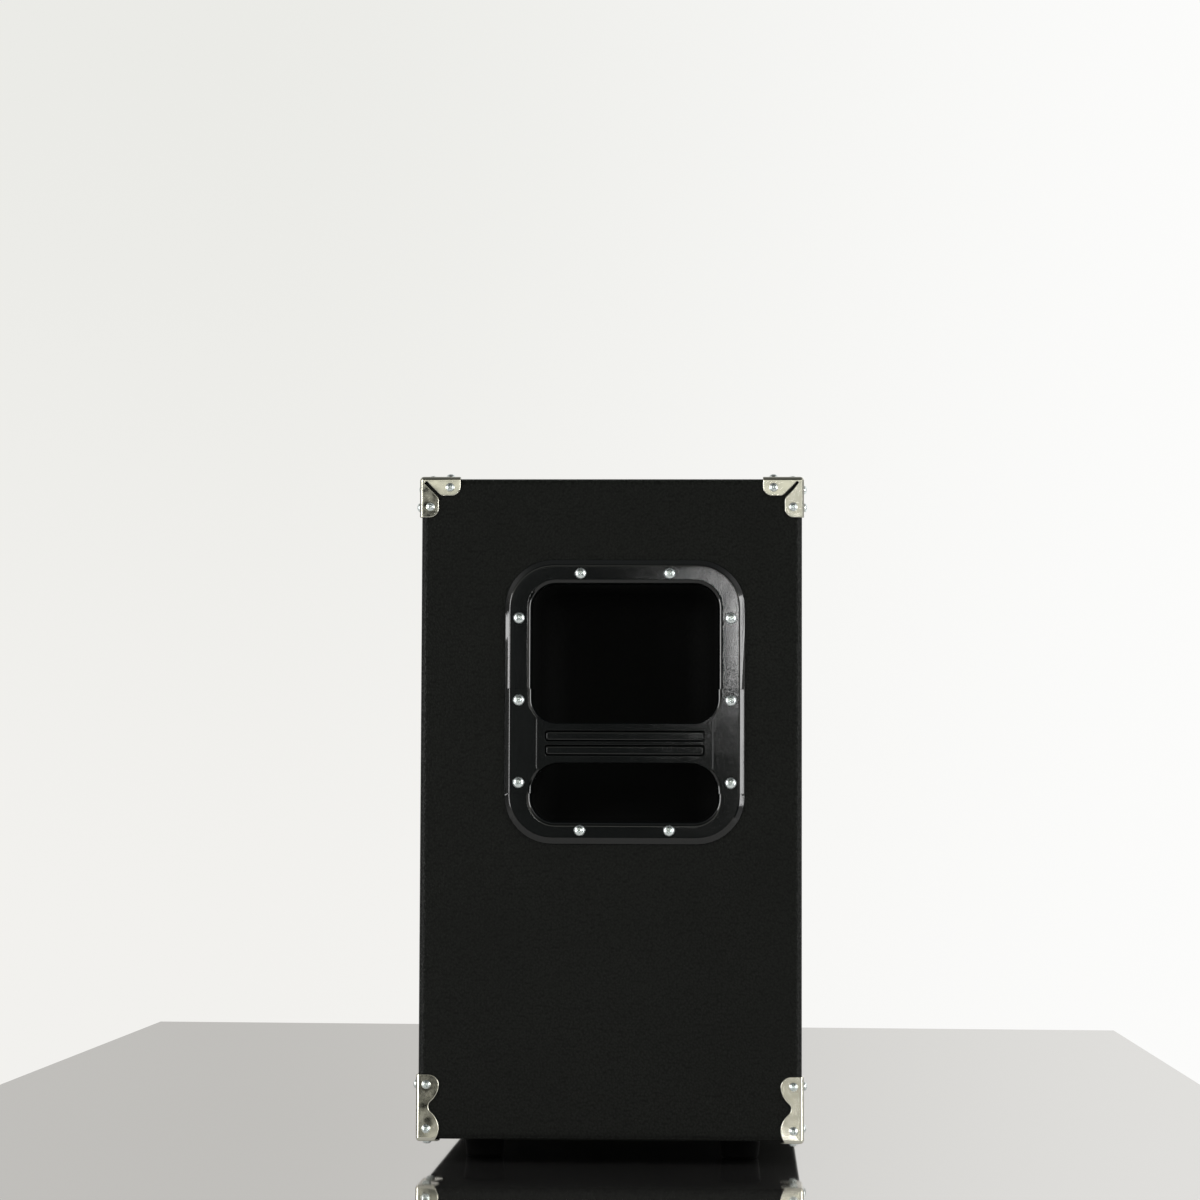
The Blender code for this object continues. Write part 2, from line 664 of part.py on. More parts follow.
seal_outer = BATTEN_WIDTH + SEAT_GAP - SEAL_WIDTH
seal = add_piece(
    "back_seal", inside_box("back_seal", seal_outer, SEAL_INSIDE, SEAL_INSIDE + SEAL_THICKNESS), FOAM)
cut(seal, add_cutter("back_seal_room", inside_box(
    "back_seal_room", seal_outer + SEAL_WIDTH, SEAL_INSIDE - OVERSHOOT, SEAL_INSIDE + SEAL_THICKNESS + OVERSHOOT)))

screw_x = back_half_width - BACK_SCREW_INSET
back_screw_spots = [(x, z) for z in (back_bottom + BACK_SCREW_INSET, back_top - BACK_SCREW_INSET)
                    for x in (-screw_x, 0, screw_x)]
back_screw_spots += [(-screw_x, inside_middle), (screw_x, inside_middle)]
back_screw_places = [BACKWARD @ Matrix.Translation((-x, z, BACK_FACE)) for x, z in back_screw_spots]
back_screw_holes = add_cutter("back_screw_holes", rods_mesh(
    "back_screw_holes", back_screw_places, BACK_SCREW_HOLE / 2, -SKIN - BACK_THICKNESS - OVERSHOOT, OVERSHOOT))
cut(back_panel, back_screw_holes)
cut(back_covering, back_screw_holes)


# Recessed bar handles, one in each side panel

def opening_outline(grow, back_shrink=0.0, floor_rise=0.0):
    """The handle's whole opening, grown on every side. Towards the back it shrinks and its floor rises."""
    half = OPENING_WIDTH / 2 + grow - back_shrink
    radius = UPPER_CORNER + grow - back_shrink / 2
    return rounded_rectangle(
        -half, half, OPENING_BOTTOM - grow + floor_rise, OPENING_TOP + grow - back_shrink, radius)


def lip_steps(radius):
    """Offset and drop of each step down a lip's quarter round."""
    for i in range(4):
        turn = math.radians(30 * i)
        yield radius * (1 - math.sin(turn)), radius * (1 - math.cos(turn))


def flange_sections():
    half_x, half_z = HANDLE_WIDTH / 2, HANDLE_HEIGHT / 2
    for height, inset in ((0, 0), (RIM_EDGE, 0), (FLANGE_RISE, RIM_SLOPE)):
        yield height, rounded_rectangle(
            -half_x + inset, half_x - inset, -half_z + inset, half_z - inset, HANDLE_CORNER - inset)


def cup_sections(grow):
    yield -CUP_STRAIGHT, opening_outline(grow)
    yield -CUP_DEPTH - grow, opening_outline(grow, CUP_DRAFT, CUP_FLOOR_RISE)


def cavity_sections():
    yield FLANGE_RISE + OVERSHOOT, opening_outline(LIP_RADIUS)
    for offset, drop in lip_steps(LIP_RADIUS):
        yield FLANGE_RISE - drop, opening_outline(offset)
    yield from cup_sections(0)


def bar_opening_sections(bottom, top, radius, bar_below):
    """One opening of the bar piece. Its edge on the bar is rounded at the front, and more at the back."""
    half = OPENING_WIDTH / 2 - SIDE_STEP
    back_start = -SIDE_DEPTH + BAR_BACK_RADIUS
    steps = [(FLANGE_RISE + OVERSHOOT, LIP_RADIUS, BAR_FRONT_RADIUS)]
    for offset, drop in lip_steps(LIP_RADIUS):
        steps.append((FLANGE_RISE - drop, offset, BAR_FRONT_RADIUS * offset / LIP_RADIUS))
    for offset, drop in lip_steps(BAR_BACK_RADIUS):
        steps.append((back_start - (BAR_BACK_RADIUS - offset), 0, drop))
    steps.append((-SIDE_DEPTH - OVERSHOOT, 0, BAR_BACK_RADIUS))
    for height, side, bar in steps:
        below, above = (bar, side) if bar_below else (side, bar)
        yield height, rounded_rectangle(-half - side, half + side, bottom - below, top + above, radius + side)


def bar_piece_outline(grow):
    """The bar piece seen from its end: wide over the flange's ledges, and narrower where it runs into the cup."""
    wide = HANDLE_WIDTH / 2 + OVERSHOOT
    narrow = OPENING_WIDTH / 2 - SIDE_STEP + SIDE_WALL + grow
    top, ledge, floor = FLANGE_RISE + OVERSHOOT, LEDGE_RISE + SEAT_GAP - grow, -SIDE_DEPTH - grow
    return [(-wide, top), (-wide, ledge), (-narrow, ledge), (-narrow, floor),
            (narrow, floor), (narrow, ledge), (wide, ledge), (wide, top)]


def centred_rectangle(width, height, radius, middle=0.0, steps=SMALL_ARC_STEPS):
    return rounded_rectangle(-width / 2, width / 2, middle - height / 2, middle + height / 2, radius, steps)


bar_face = centred_rectangle(FACE_WIDTH, BAR_HEIGHT + 2 * BAR_FRONT_RADIUS, WINDOW_CORNER, BAR_MIDDLE)
bar_window = centred_rectangle(WINDOW_WIDTH, WINDOW_HEIGHT, WINDOW_CORNER, BAR_MIDDLE)
cup_hole_spots = [(x, z) for x in (-END_HOLE_X, END_HOLE_X) for z in (-END_HOLE_Z, END_HOLE_Z)]
cup_hole_spots += [(x, SIDE_HOLES_Z[0]) for x in (-SIDE_HOLE_X, SIDE_HOLE_X)]
bar_hole_spots = [(x, z) for x in (-SIDE_HOLE_X, SIDE_HOLE_X) for z in SIDE_HOLES_Z[1:]]


def handle(side):
    """One handle: the cup with its flange, the bar piece in it, and the room they need in what is round them."""
    word = "left" if side == LEFT else "right"
    place = axes_matrix(
        (side * (HALF_WIDTH + SEAT_GAP), -HANDLE_FORWARD, CABINET_TOP - HANDLE_DROP),
        (0, side, 0), (0, 0, 1), (side, 0, 0))

    def lofted(label, sections):
        name = f"{word}_{label}"
        return add_cutter(name, loft_mesh(name, list(sections), place))

    def level_section(name, outline, bottom, top):
        """An outline drawn across the width and the depth, run up from bottom to top."""
        turn = axes_matrix((0, 0, 0), (1, 0, 0), (0, 0, 1), (0, -1, 0))
        return loft_mesh(name, [(-top, outline), (-bottom, outline)], place @ turn)

    def drill(label, spots):
        name = f"{word}_{label}"
        places = [place @ Matrix.Translation((x, z, 0)) for x, z in spots]
        return add_cutter(name, rods_mesh(name, places, HANDLE_HOLE / 2, -OVERSHOOT, FLANGE_RISE + OVERSHOOT))

    above_flange = FLANGE_RISE + OVERSHOOT
    bar_holes = drill("bar_holes", bar_hole_spots)

    cup_name = f"{word}_handle_cup"
    cup = add_piece(cup_name, loft_mesh(cup_name, list(flange_sections()), place), HANDLE_PLASTIC, smooth=True)
    combine(cup, lofted("cup_body", [(FLANGE_RISE / 2, opening_outline(CUP_WALL)), *cup_sections(CUP_WALL)]), "UNION")
    seat_name = f"{word}_bar_seat"
    seat = add_cutter(seat_name, level_section(
        seat_name, bar_piece_outline(SEAT_GAP), BAR_PIECE_BOTTOM - SEAT_GAP, BAR_PIECE_TOP + SEAT_GAP))
    cut(cup, lofted("cup_cavity", cavity_sections()), seat, drill("cup_holes", cup_hole_spots), bar_holes)

    bar_name = f"{word}_handle_bar"
    bar_mesh = level_section(bar_name, bar_piece_outline(0), BAR_PIECE_BOTTOM, BAR_PIECE_TOP)
    bar = add_piece(bar_name, bar_mesh, HANDLE_PLASTIC, smooth=True)
    rim = [(-SIDE_DEPTH - OVERSHOOT, next(flange_sections())[1]), *flange_sections()]
    combine(bar, lofted("bar_rim", rim), "INTERSECT")
    cut(
        bar,
        lofted("upper_opening", bar_opening_sections(UPPER_BOTTOM, OPENING_TOP, UPPER_CORNER, True)),
        lofted("lower_opening", bar_opening_sections(OPENING_BOTTOM, LOWER_TOP, LOWER_CORNER, False)),
        lofted("bar_face", [(BAR_FACE_RISE, bar_face), (above_flange, bar_face)]),
        lofted("bar_window", [(WINDOW_FLOOR, bar_window), (above_flange, bar_window)]),
    )
    for label, middle in (("upper_pad", BAR_MIDDLE + PAD_SPACING / 2), ("lower_pad", BAR_MIDDLE - PAD_SPACING / 2)):
        pad = centred_rectangle(PAD_LENGTH, PAD_HEIGHT, PAD_HEIGHT / 2 * 0.98, middle)
        combine(bar, lofted(label, [(WINDOW_FLOOR - PAD_RISE, pad), (WINDOW_FLOOR + PAD_RISE, pad)]), "UNION")
    cut(bar, bar_holes)

    room = opening_outline(CUP_WALL + CUTOUT_CLEARANCE)
    cup_room = lofted("cup_room", [(-CUP_DEPTH - CUP_WALL - CUTOUT_CLEARANCE, room), (OVERSHOOT, room)])
    for piece in (side_panels[side], covering, *side_battens[side]):
        cut(piece, cup_room)


for side in (LEFT, RIGHT):
    handle(side)


# Metal corners, folded over the covered edges. Each is drawn with its apex at the origin and its legs inwards

def top_corner_outline():
    """One face of a top corner: two round-ended legs along the edges, with a slot between them to the apex."""
    margin = CORNER_OUT + OVERSHOOT
    inner = TOP_LEG_LENGTH - TOP_LEG_ROUND, TOP_LEG_WIDTH - TOP_LEG_ROUND
    half_slot = TOP_SLOT_WIDTH / math.sqrt(2)
    slot_start = FOLD_ZONE + 0.3 * MM
    first_leg = [(-margin, -margin), (TOP_LEG_LENGTH, -margin), *arc(inner, TOP_LEG_ROUND, 0, 90)]
    first_leg += [(TOP_LEG_WIDTH + half_slot, TOP_LEG_WIDTH), (slot_start + half_slot, slot_start)]
    second_leg = [(y, x) for x, y in reversed(first_leg[1:])]
    return first_leg + second_leg


def bottom_leg_outline():
    """One face of a bottom corner's leg: a lobe at each end, joined by a hollow arc at the waist."""
    margin = CORNER_OUT + OVERSHOOT
    lobe_in = LOBE_REACH - LOBE_RADIUS
    far_lobe = BOTTOM_LEG_LENGTH - LOBE_RADIUS, lobe_in
    near_lobe = far_lobe[0] - LOBE_SPACING, lobe_in
    half = LOBE_SPACING / 2
    rise = lobe_in - WAIST_REACH
    waist_radius = (half ** 2 + rise ** 2 - LOBE_RADIUS ** 2) / (2 * (LOBE_RADIUS + rise))
    waist = near_lobe[0] + half, WAIST_REACH + waist_radius
    lean = math.degrees(math.atan2(waist[1] - lobe_in, half))
    points = [(-margin, -margin), (BOTTOM_LEG_LENGTH, -margin)]
    points += arc(far_lobe, LOBE_RADIUS, 0, 180 - lean)
    points += arc(waist, waist_radius, 360 - lean, 180 + lean)[1:-1]
    points += arc(near_lobe, LOBE_RADIUS, lean, 150)
    return points + [(-margin, points[-1][1] if points[-1][1] > 0 else lobe_in)]


def face_plate(name, outline, along, across_axis, zone):
    """An outline laid on one face of the corner, through the sheet and the fold."""
    ways = [Vector([i == axis for i in range(3)]) for axis in (along, across_axis, 3 - along - across_axis)]
    return plate_mesh(name, outline, -CORNER_OUT - OVERSHOOT - zone, FOLD_ZONE + zone,
                      axes_matrix((0, 0, 0), *ways))


def fold_block(name, offset, radius):
    """A block whose three edges at the apex have the fold's radius."""
    size = BOTTOM_LEG_LENGTH + TOP_LEG_LENGTH + offset
    return box_mesh(name, (-offset,) * 3, (size,) * 3, radius, 2)


def formed_corner(name, plates, hole_spots):
    """The mesh of one corner: its face plates joined, then only the bent sheet kept, then drilled."""
    blank = add_cutter(f"{name}_blank", plates[0])
    for number, plate in enumerate(plates[1:], 2):
        combine(blank, add_cutter(f"{name}_plate_{number}", plate), "UNION")
    outside = add_cutter(f"{name}_outside", fold_block(f"{name}_outside", CORNER_OUT, CORNER_FOLD_RADIUS))
    inside = add_cutter(f"{name}_inside", fold_block(
        f"{name}_inside", CORNER_CLEARANCE, CORNER_FOLD_RADIUS - CORNER_SHEET))
    for vertex in inside.data.vertices:
        vertex.co += Vector([OVERSHOOT if value > TOP_LEG_LENGTH else 0 for value in vertex.co])
    combine(blank, outside, "INTERSECT")
    cut(blank, inside)
    holes = rods_mesh(f"{name}_holes", hole_spots, CORNER_HOLE / 2, -OVERSHOOT - CORNER_OUT, OVERSHOOT)
    cut(blank, add_cutter(f"{name}_holes", holes))
    bpy.context.view_layer.update()
    mesh = bpy.data.meshes.new_from_object(blank.evaluated_get(bpy.context.evaluated_depsgraph_get()))
    mesh.name = name
    return mesh


def hole_spot(axis, position):
    """A drill's place: its third axis runs into the face that the given axis stands on."""
    ways = [Vector([i == (axis + turn) % 3 for i in range(3)]) for turn in (1, 2, 3)]
    return axes_matrix(position, *ways)


top_plates = [
    face_plate(f"top_corner_plate_{face}", top_corner_outline(), (face + 1) % 3, (face + 2) % 3, face * 0.1 * MM)
    for face in range(3)
]
top_spots = []
for face in range(3):
    for along in ((face + 1) % 3, (face + 2) % 3):
        position = Vector((TOP_HOLE_IN,) * 3)
        position[face] = 0
        position[along] = TOP_HOLE_ALONG
        top_spots.append(hole_spot(face, position))
top_corner_mesh = formed_corner("top_corner", top_plates, top_spots)

# A bottom corner has two legs, along its first and second axes, and no leg along its third.
leg_faces = ((0, 2), (0, 1), (1, 2), (1, 0))
bottom_plates = [
    face_plate(f"bottom_corner_plate_{number}", bottom_leg_outline(), along, across_axis, number * 0.1 * MM)
    for number, (along, across_axis) in enumerate(leg_faces)
]
far_hole = BOTTOM_LEG_LENGTH - LOBE_RADIUS
bottom_spots = []
for along, across_axis in leg_faces:
    for reach in (far_hole, far_hole - LOBE_SPACING) if across_axis == 2 else (far_hole,):
        position = Vector((0, 0, 0))
        position[along] = reach
        position[across_axis] = BOTTOM_HOLE_IN
        bottom_spots.append(hole_spot(3 - along - across_axis, position))
bottom_corner_mesh = formed_corner("bottom_corner", bottom_plates, bottom_spots)


def place_corner(name, mesh, side, face, level, leg_axes):
    """Sets a corner on the cabinet. leg_axes gives the world axis that each of its own axes lies along."""
    inward = (Vector((-side, 0, 0)), Vector((0, -face, 0)), Vector((0, 0, -level)))
    ways = [inward[axis] for axis in leg_axes]
    if ways[0].cross(ways[1]).dot(ways[2]) < 0:
        ways[0], ways[1] = ways[1], ways[0]
    apex = (side * HALF_WIDTH, face * HALF_DEPTH, CABINET_TOP if level > 0 else CABINET_BOTTOM)
    corner = add_piece(name, mesh, NICKEL, smooth=True)
    corner.matrix_world = axes_matrix(apex, *ways)


for side, side_word in ((LEFT, "left"), (RIGHT, "right")):
    for face, face_word in ((-1, "front"), (1, "back")):
        where = f"{face_word}_{side_word}"
        place_corner(f"top_corner_{where}", top_corner_mesh, side, face, 1, (0, 1, 2))
        place_corner(f"bottom_corner_{where}", bottom_corner_mesh, side, face, -1, (0, 2, 1))


# Rubber feet, each with a washer-head screw up through it

foot_mesh = turned_mesh("rubber_foot", [
    (FOOT_TOP / 2, FOOT_HEIGHT),
    (FOOT_BOTTOM / 2, 1.5 * MM),
    (FOOT_BOTTOM / 2 - 1.5 * MM, 0),
    (FOOT_RECESS / 2, 0),
    (FOOT_RECESS / 2, FOOT_RECESS_DEPTH),
    (FOOT_BORE / 2, FOOT_RECESS_DEPTH),
    (FOOT_BORE / 2, FOOT_HEIGHT),
], hollow=True)
washer_top = FOOT_RECESS_DEPTH - SEAT_GAP
washer_bottom = washer_top - WASHER_THICKNESS
screw_tip = WOOD_BOTTOM + FOOT_SCREW_BITE
foot_screw_mesh = turned_mesh("foot_screw", [
    (0, screw_tip),
    (FOOT_SCREW_SHANK / 2, screw_tip - FOOT_SCREW_SHANK / 2),
    (FOOT_SCREW_SHANK / 2, washer_top),
    (FOOT_SCREW_WASHER / 2, washer_top),
    (FOOT_SCREW_WASHER / 2, washer_bottom),
    (FOOT_SCREW_HEAD / 2, washer_bottom),
    (FOOT_SCREW_HEAD / 3, washer_bottom - FOOT_SCREW_HEAD_RISE),
    (0, washer_bottom - FOOT_SCREW_HEAD_RISE),
], HOLE_SIDES + 2)
foot_places = []
for side, side_word in ((LEFT, "left"), (RIGHT, "right")):
    for face, face_word in ((-1, "front"), (1, "back")):
        spot = Matrix.Translation((side * (HALF_WIDTH - FOOT_INSET_X), face * (HALF_DEPTH - FOOT_INSET_Y), 0))
        foot_places.append(spot)
        add_piece(f"foot_{face_word}_{side_word}", foot_mesh, RUBBER, smooth=True).matrix_world = spot
        add_piece(f"foot_screw_{face_word}_{side_word}", foot_screw_mesh, ZINC, smooth=True).matrix_world = spot
foot_holes = add_cutter("foot_screw_holes", rods_mesh(
    "foot_screw_holes", foot_places, FOOT_SCREW_SHANK / 2 + SEAT_GAP, CABINET_BOTTOM - OVERSHOOT,
    screw_tip + SEAT_GAP, 8))
cut(bottom_panel, foot_holes)
cut(covering, foot_holes)


# Jack dish in the back panel, with two jacks and their nuts

dish_place = BACKWARD @ Matrix.Translation((0, CABINET_MIDDLE + DISH_UP, BACK_FACE + SEAT_GAP))


def dish_outline(grow, shrink=0.0):
    change = 2 * (grow - shrink)
    return centred_rectangle(DISH_OPENING_WIDTH + change, DISH_OPENING_HEIGHT + change, DISH_CORNER + grow - shrink)


dish = add_piece("jack_dish", loft_mesh("jack_dish", [
    (0, centred_rectangle(DISH_WIDTH, DISH_HEIGHT, DISH_CORNER)),
    (DISH_FLANGE / 2, centred_rectangle(DISH_WIDTH, DISH_HEIGHT, DISH_CORNER)),
    (DISH_FLANGE, centred_rectangle(
        DISH_WIDTH - DISH_FLANGE, DISH_HEIGHT - DISH_FLANGE, DISH_CORNER - DISH_FLANGE / 2)),
], dish_place), HANDLE_PLASTIC, smooth=True)
combine(dish, add_cutter("dish_body", loft_mesh("dish_body", [
    (DISH_FLANGE / 2, dish_outline(DISH_WALL)),
    (-DISH_DEPTH - DISH_WALL, dish_outline(DISH_WALL, DISH_DRAFT)),
], dish_place)), "UNION")
cut(dish, add_cutter("dish_cavity", loft_mesh("dish_cavity", [
    (DISH_FLANGE + OVERSHOOT, dish_outline(DISH_FLANGE)),
    (DISH_FLANGE, dish_outline(DISH_FLANGE)),
    (0, dish_outline(0)),
    (-DISH_DEPTH, dish_outline(0, DISH_DRAFT)),
], dish_place)))
dish_spots = [dish_place @ Matrix.Translation((x, z, 0))
              for x in (-DISH_HOLE_X, DISH_HOLE_X) for z in (-DISH_HOLE_Z, DISH_HOLE_Z)]
cut(dish, add_cutter("dish_holes", rods_mesh(
    "dish_holes", dish_spots, DISH_HOLE / 2, -OVERSHOOT, DISH_FLANGE + OVERSHOOT)))
dish_cutout = add_cutter("dish_cutout", loft_mesh("dish_cutout", [
    (-SKIN - BACK_THICKNESS - OVERSHOOT, dish_outline(DISH_WALL + CUTOUT_CLEARANCE)),
    (OVERSHOOT, dish_outline(DISH_WALL + CUTOUT_CLEARANCE)),
], dish_place))
cut(back_panel, dish_cutout)
cut(back_covering, dish_cutout)

jack_places = [dish_place @ Matrix.Translation((x, 0, -DISH_DEPTH)) for x in (JACK_SPACING / 2, -JACK_SPACING / 2)]
cut(dish, add_cutter("jack_holes", rods_mesh(
    "jack_holes", jack_places, JACK_BUSHING / 2 + JACK_CLEARANCE, -DISH_WALL - OVERSHOOT, OVERSHOOT, 12)))
body_top = -DISH_WALL - SEAT_GAP
jack_mesh = turned_mesh("jack", [
    (0, JACK_BUSHING_OUT),
    (JACK_BUSHING / 2, JACK_BUSHING_OUT),
    (JACK_BUSHING / 2, body_top),
    (JACK_BODY / 2, body_top),
    (JACK_BODY / 2, body_top - JACK_BODY_LENGTH),
    (0, body_top - JACK_BODY_LENGTH),
], 12)
jack_bores = add_cutter("jack_bores", rods_mesh(
    "jack_bores", jack_places, JACK_BORE / 2, JACK_BUSHING_OUT - JACK_BORE_DEPTH, JACK_BUSHING_OUT + OVERSHOOT, 12))
nut_mesh = rods_mesh(
    "jack_nut", [Matrix()], JACK_NUT / math.sqrt(3), SEAT_GAP, SEAT_GAP + JACK_NUT_THICKNESS)
nut_bores = add_cutter("jack_nut_bores", rods_mesh(
    "jack_nut_bores", jack_places, JACK_BUSHING / 2 + JACK_CLEARANCE, -OVERSHOOT,
    JACK_NUT_THICKNESS + OVERSHOOT, 12))
for name, place in zip(("input_jack", "link_jack"), jack_places):
    jack = add_piece(name, jack_mesh, ZINC, smooth=True)
    jack.matrix_world = place
    cut(jack, jack_bores)
    nut = add_piece(f"{name}_nut", nut_mesh, ZINC)
    nut.matrix_world = place
    cut(nut, nut_bores)
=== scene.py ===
# %% [markdown]
# # An empty speaker cabinet, dressed round its CAD frame
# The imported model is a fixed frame: plywood, battens, handles and corners sit where they will stay, in
# metres. This script loads it, gives every surface a finish, and puts finer shapes over the plain ones. The
# frame comes first because each new piece takes its place from it.

# %% Load the frame
import math

import bmesh
import bpy
from bmesh import ops
from mathutils import Matrix, Vector


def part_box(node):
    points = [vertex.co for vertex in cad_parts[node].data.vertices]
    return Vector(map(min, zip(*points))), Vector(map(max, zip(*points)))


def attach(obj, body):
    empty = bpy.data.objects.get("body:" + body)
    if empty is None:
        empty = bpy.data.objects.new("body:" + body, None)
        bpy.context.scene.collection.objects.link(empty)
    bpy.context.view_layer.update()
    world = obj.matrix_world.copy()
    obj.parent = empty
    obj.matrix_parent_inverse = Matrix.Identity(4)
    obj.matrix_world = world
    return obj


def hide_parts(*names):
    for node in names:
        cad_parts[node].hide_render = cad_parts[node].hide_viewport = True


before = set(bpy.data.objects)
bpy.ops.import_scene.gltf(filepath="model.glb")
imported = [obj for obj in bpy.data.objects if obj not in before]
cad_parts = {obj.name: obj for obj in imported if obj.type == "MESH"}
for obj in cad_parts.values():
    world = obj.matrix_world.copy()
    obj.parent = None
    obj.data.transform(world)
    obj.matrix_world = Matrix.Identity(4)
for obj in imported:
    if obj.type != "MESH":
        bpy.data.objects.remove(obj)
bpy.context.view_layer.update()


def millimetres(low, high, digits=1):
    """The lengths from one point to another, ready to print."""
    return [round((b - a) * 1000, digits) for a, b in zip(low, high)]


# %% [markdown]
# ## Camera and room
# The photograph looks straight at one side of the cabinet through a long lens. The camera's place was worked
# out from the four corners of that side, and is written down as a point and three small angles.

# %% Camera
MM = 0.001


def camera_turn(yaw, pitch, roll):
    """The camera's rotation, from its heading off +X, its tilt up and its lean."""
    forward = Vector((math.cos(yaw) * math.cos(pitch), -math.sin(yaw) * math.cos(pitch), math.sin(pitch)))
    level = Vector((-math.sin(yaw), -math.cos(yaw), 0))
    upright = level.cross(forward)
    right = level * math.cos(roll) + upright * math.sin(roll)
    up = upright * math.cos(roll) - level * math.sin(roll)
    return Matrix((right, up, -forward)).transposed().to_quaternion()


def linked(name, data):
    """A new object in the scene."""
    made = bpy.data.objects.new(name, data)
    bpy.context.scene.collection.objects.link(made)
    return made


lens = bpy.data.cameras.new("camera")
lens.lens, lens.sensor_width = 102, 36
lens.clip_start, lens.clip_end = 0.1, 60
camera = linked("camera", lens)
camera.location = (-3.40388, -0.11571, 0.32647)
camera.rotation_mode = "QUATERNION"
camera.rotation_quaternion = camera_turn(-0.04142, 0.05742, 0.00381)
bpy.context.scene.camera = camera
bpy.context.scene.view_settings.view_transform = "Standard"
print("camera", tuple(round(value, 3) for value in camera.location), "lens", lens.lens, "mm")

# %% [markdown]
# ## Two small tools for finishes
# Colours are written as sRGB hex, and the renderer wants them linear. The other tool adds any node, sets it
# and links it in one line, so that a finish reads from top to bottom.

# %% Colour and nodes


def linear(colour):
    """An sRGB hex colour as linear red, green, blue and alpha."""
    parts = [int(colour[i:i + 2], 16) / 255 for i in (1, 3, 5)]
    return (*[part / 12.92 if part <= 0.04045 else ((part + 0.055) / 1.055) ** 2.4 for part in parts], 1.0)


def live(node):
    """A node's first output that is switched on."""
    return next(output for output in node.outputs if output.enabled)


def add(owner, kind, inputs=None, to=None, **settings):
    """Adds a shader node, sets it and links it. An input is a value, a hex colour, a socket, or a node, which
    stands for its live output. to is the socket that the new node feeds."""
    tree = owner.node_tree
    node = tree.nodes.new("ShaderNode" + kind)
    for name, value in settings.items():
        setattr(node, name, value)
    for name, value in (inputs or {}).items():
        if isinstance(value, str):
            value = linear(value)
        elif isinstance(value, bpy.types.Node):
            value = live(value)
        if isinstance(value, bpy.types.NodeSocket):
            tree.links.new(value, node.inputs[name])
        else:
            node.inputs[name].default_value = value
    if to is not None:
        tree.links.new(live(node), to)
    return node


def blank(name):
    made = bpy.data.materials.new(name)
    made.use_nodes = True
    made.node_tree.nodes.clear()
    return made


print("mid grey #808080 is", round(linear("#808080")[0], 3), "linear")

# %% [markdown]
# ## Floor
# The cabinet stands on a polished table, pale because it mirrors a white room. At the camera's low angle it
# is nearly a mirror, and from above it is a plain pale top. A Layer Weight node gives that change. The
# table's far left corner is a little out of square.

# %% Floor
TABLE_SIZE, TABLE_MIDDLE, OUT_OF_SQUARE = (5.5, 1.345, 1), (-1.33, 0.033, 0), (0.055, 0.01, 0)
polished_table = blank("polished_pale_table")
grazing = add(polished_table, "LayerWeight", {"Blend": 0.5})
mirror_share = add(polished_table, "MapRange", {
    "Value": grazing.outputs["Facing"], "From Min": 0.80, "From Max": 0.88, "To Min": 0.03, "To Max": 0.99})
lacquer = add(polished_table, "BsdfDiffuse", {"Color": "#c9c8c5"})
polish = add(polished_table, "BsdfGlossy", {"Color": "#e2e1df", "Roughness": 0.045})
top_coat = add(polished_table, "MixShader", {"Fac": mirror_share, 1: lacquer, 2: polish})
add(polished_table, "OutputMaterial", {"Surface": top_coat})


def laid(bm, verts, size, middle):
    """Stretches a unit shape to a size and moves it to its middle."""
    ops.scale(bm, vec=size, verts=verts)
    ops.translate(bm, vec=middle, verts=verts)


def as_object(bm, name):
    mesh = bpy.data.meshes.new(name)
    bm.to_mesh(mesh)
    bm.free()
    return linked(name, mesh)


bm = bmesh.new()
ops.create_grid(bm, x_segments=1, y_segments=1, size=0.5)
laid(bm, bm.verts, TABLE_SIZE, TABLE_MIDDLE)
ops.translate(bm, vec=OUT_OF_SQUARE, verts=[max(bm.verts, key=lambda vert: vert.co.x + vert.co.y)])
table = as_object(bm, "floor")
table.data.materials.append(polished_table)
print("floor", [round(value, 2) for value in table.dimensions], "m")

# %% [markdown]
# ## World and lamps
# The room is a white one. What the camera sees as background is plain near-white. What gloss sees is the
# same room, but its end behind the camera is a dark gap. Right of the gap and above it the room is bright,
# far to the left it is pale, and near the gap's left side there is one narrow light strip, with a grey band
# just under the horizon. Flat plastic that faces the camera mirrors the gap and looks black although it
# shines, and every edge that turns away from it draws a bright line. The ceiling and the side walls have
# duller middles.

# %% World
world = bpy.data.worlds.new("white_room")
bpy.context.scene.world = world
world.use_nodes = True
world.node_tree.nodes.clear()
direction = add(world, "TexCoord")
way = add(world, "SeparateXYZ", {"Vector": direction.outputs["Generated"]})


def turning(value, start, end, before, after):
    """Changes the room's colour from before to after, as a value goes from start to end."""
    share = add(world, "MapRange", {"Value": value, "From Min": start, "From Max": end},
                interpolation_type="SMOOTHSTEP")
    return add(world, "Mix", {"Factor": share, "A": before, "B": after}, data_type="RGBA")


leftward, upward = way.outputs["Y"], way.outputs["Z"]
GAP = "#1e1f1d"
window_edge = add(world, "Math", {0: upward, 1: -0.25, 2: leftward}, operation="MULTIPLY_ADD")
camera_end = turning(window_edge, 0.002, -0.016, GAP, "#e0e0d9")
for value, start, end, colour in (
        (leftward, 0.060, 0.070, "#a4a8a5"), (leftward, 0.084, 0.094, GAP),
        (upward, 0.002, -0.005, "#747875"), (upward, -0.02, -0.04, GAP),
        (leftward, 0.22, 0.60, "#d4d5d0"), (upward, 0.10, 0.13, "#fcfcf0"), (upward, 0.28, 0.42, "#3c3d3a")):
    camera_end = turning(value, start, end, camera_end, colour)
far_end = turning(leftward, 0.16, -0.16, "#d9d8d6", "#fefefd")
aside = add(world, "Math", {0: leftward}, operation="ABSOLUTE")
far_end = turning(aside, 0.86, 0.97, far_end, "#6c6d6b")
far_end = turning(upward, 0.5, 0.9, far_end, "#787977")
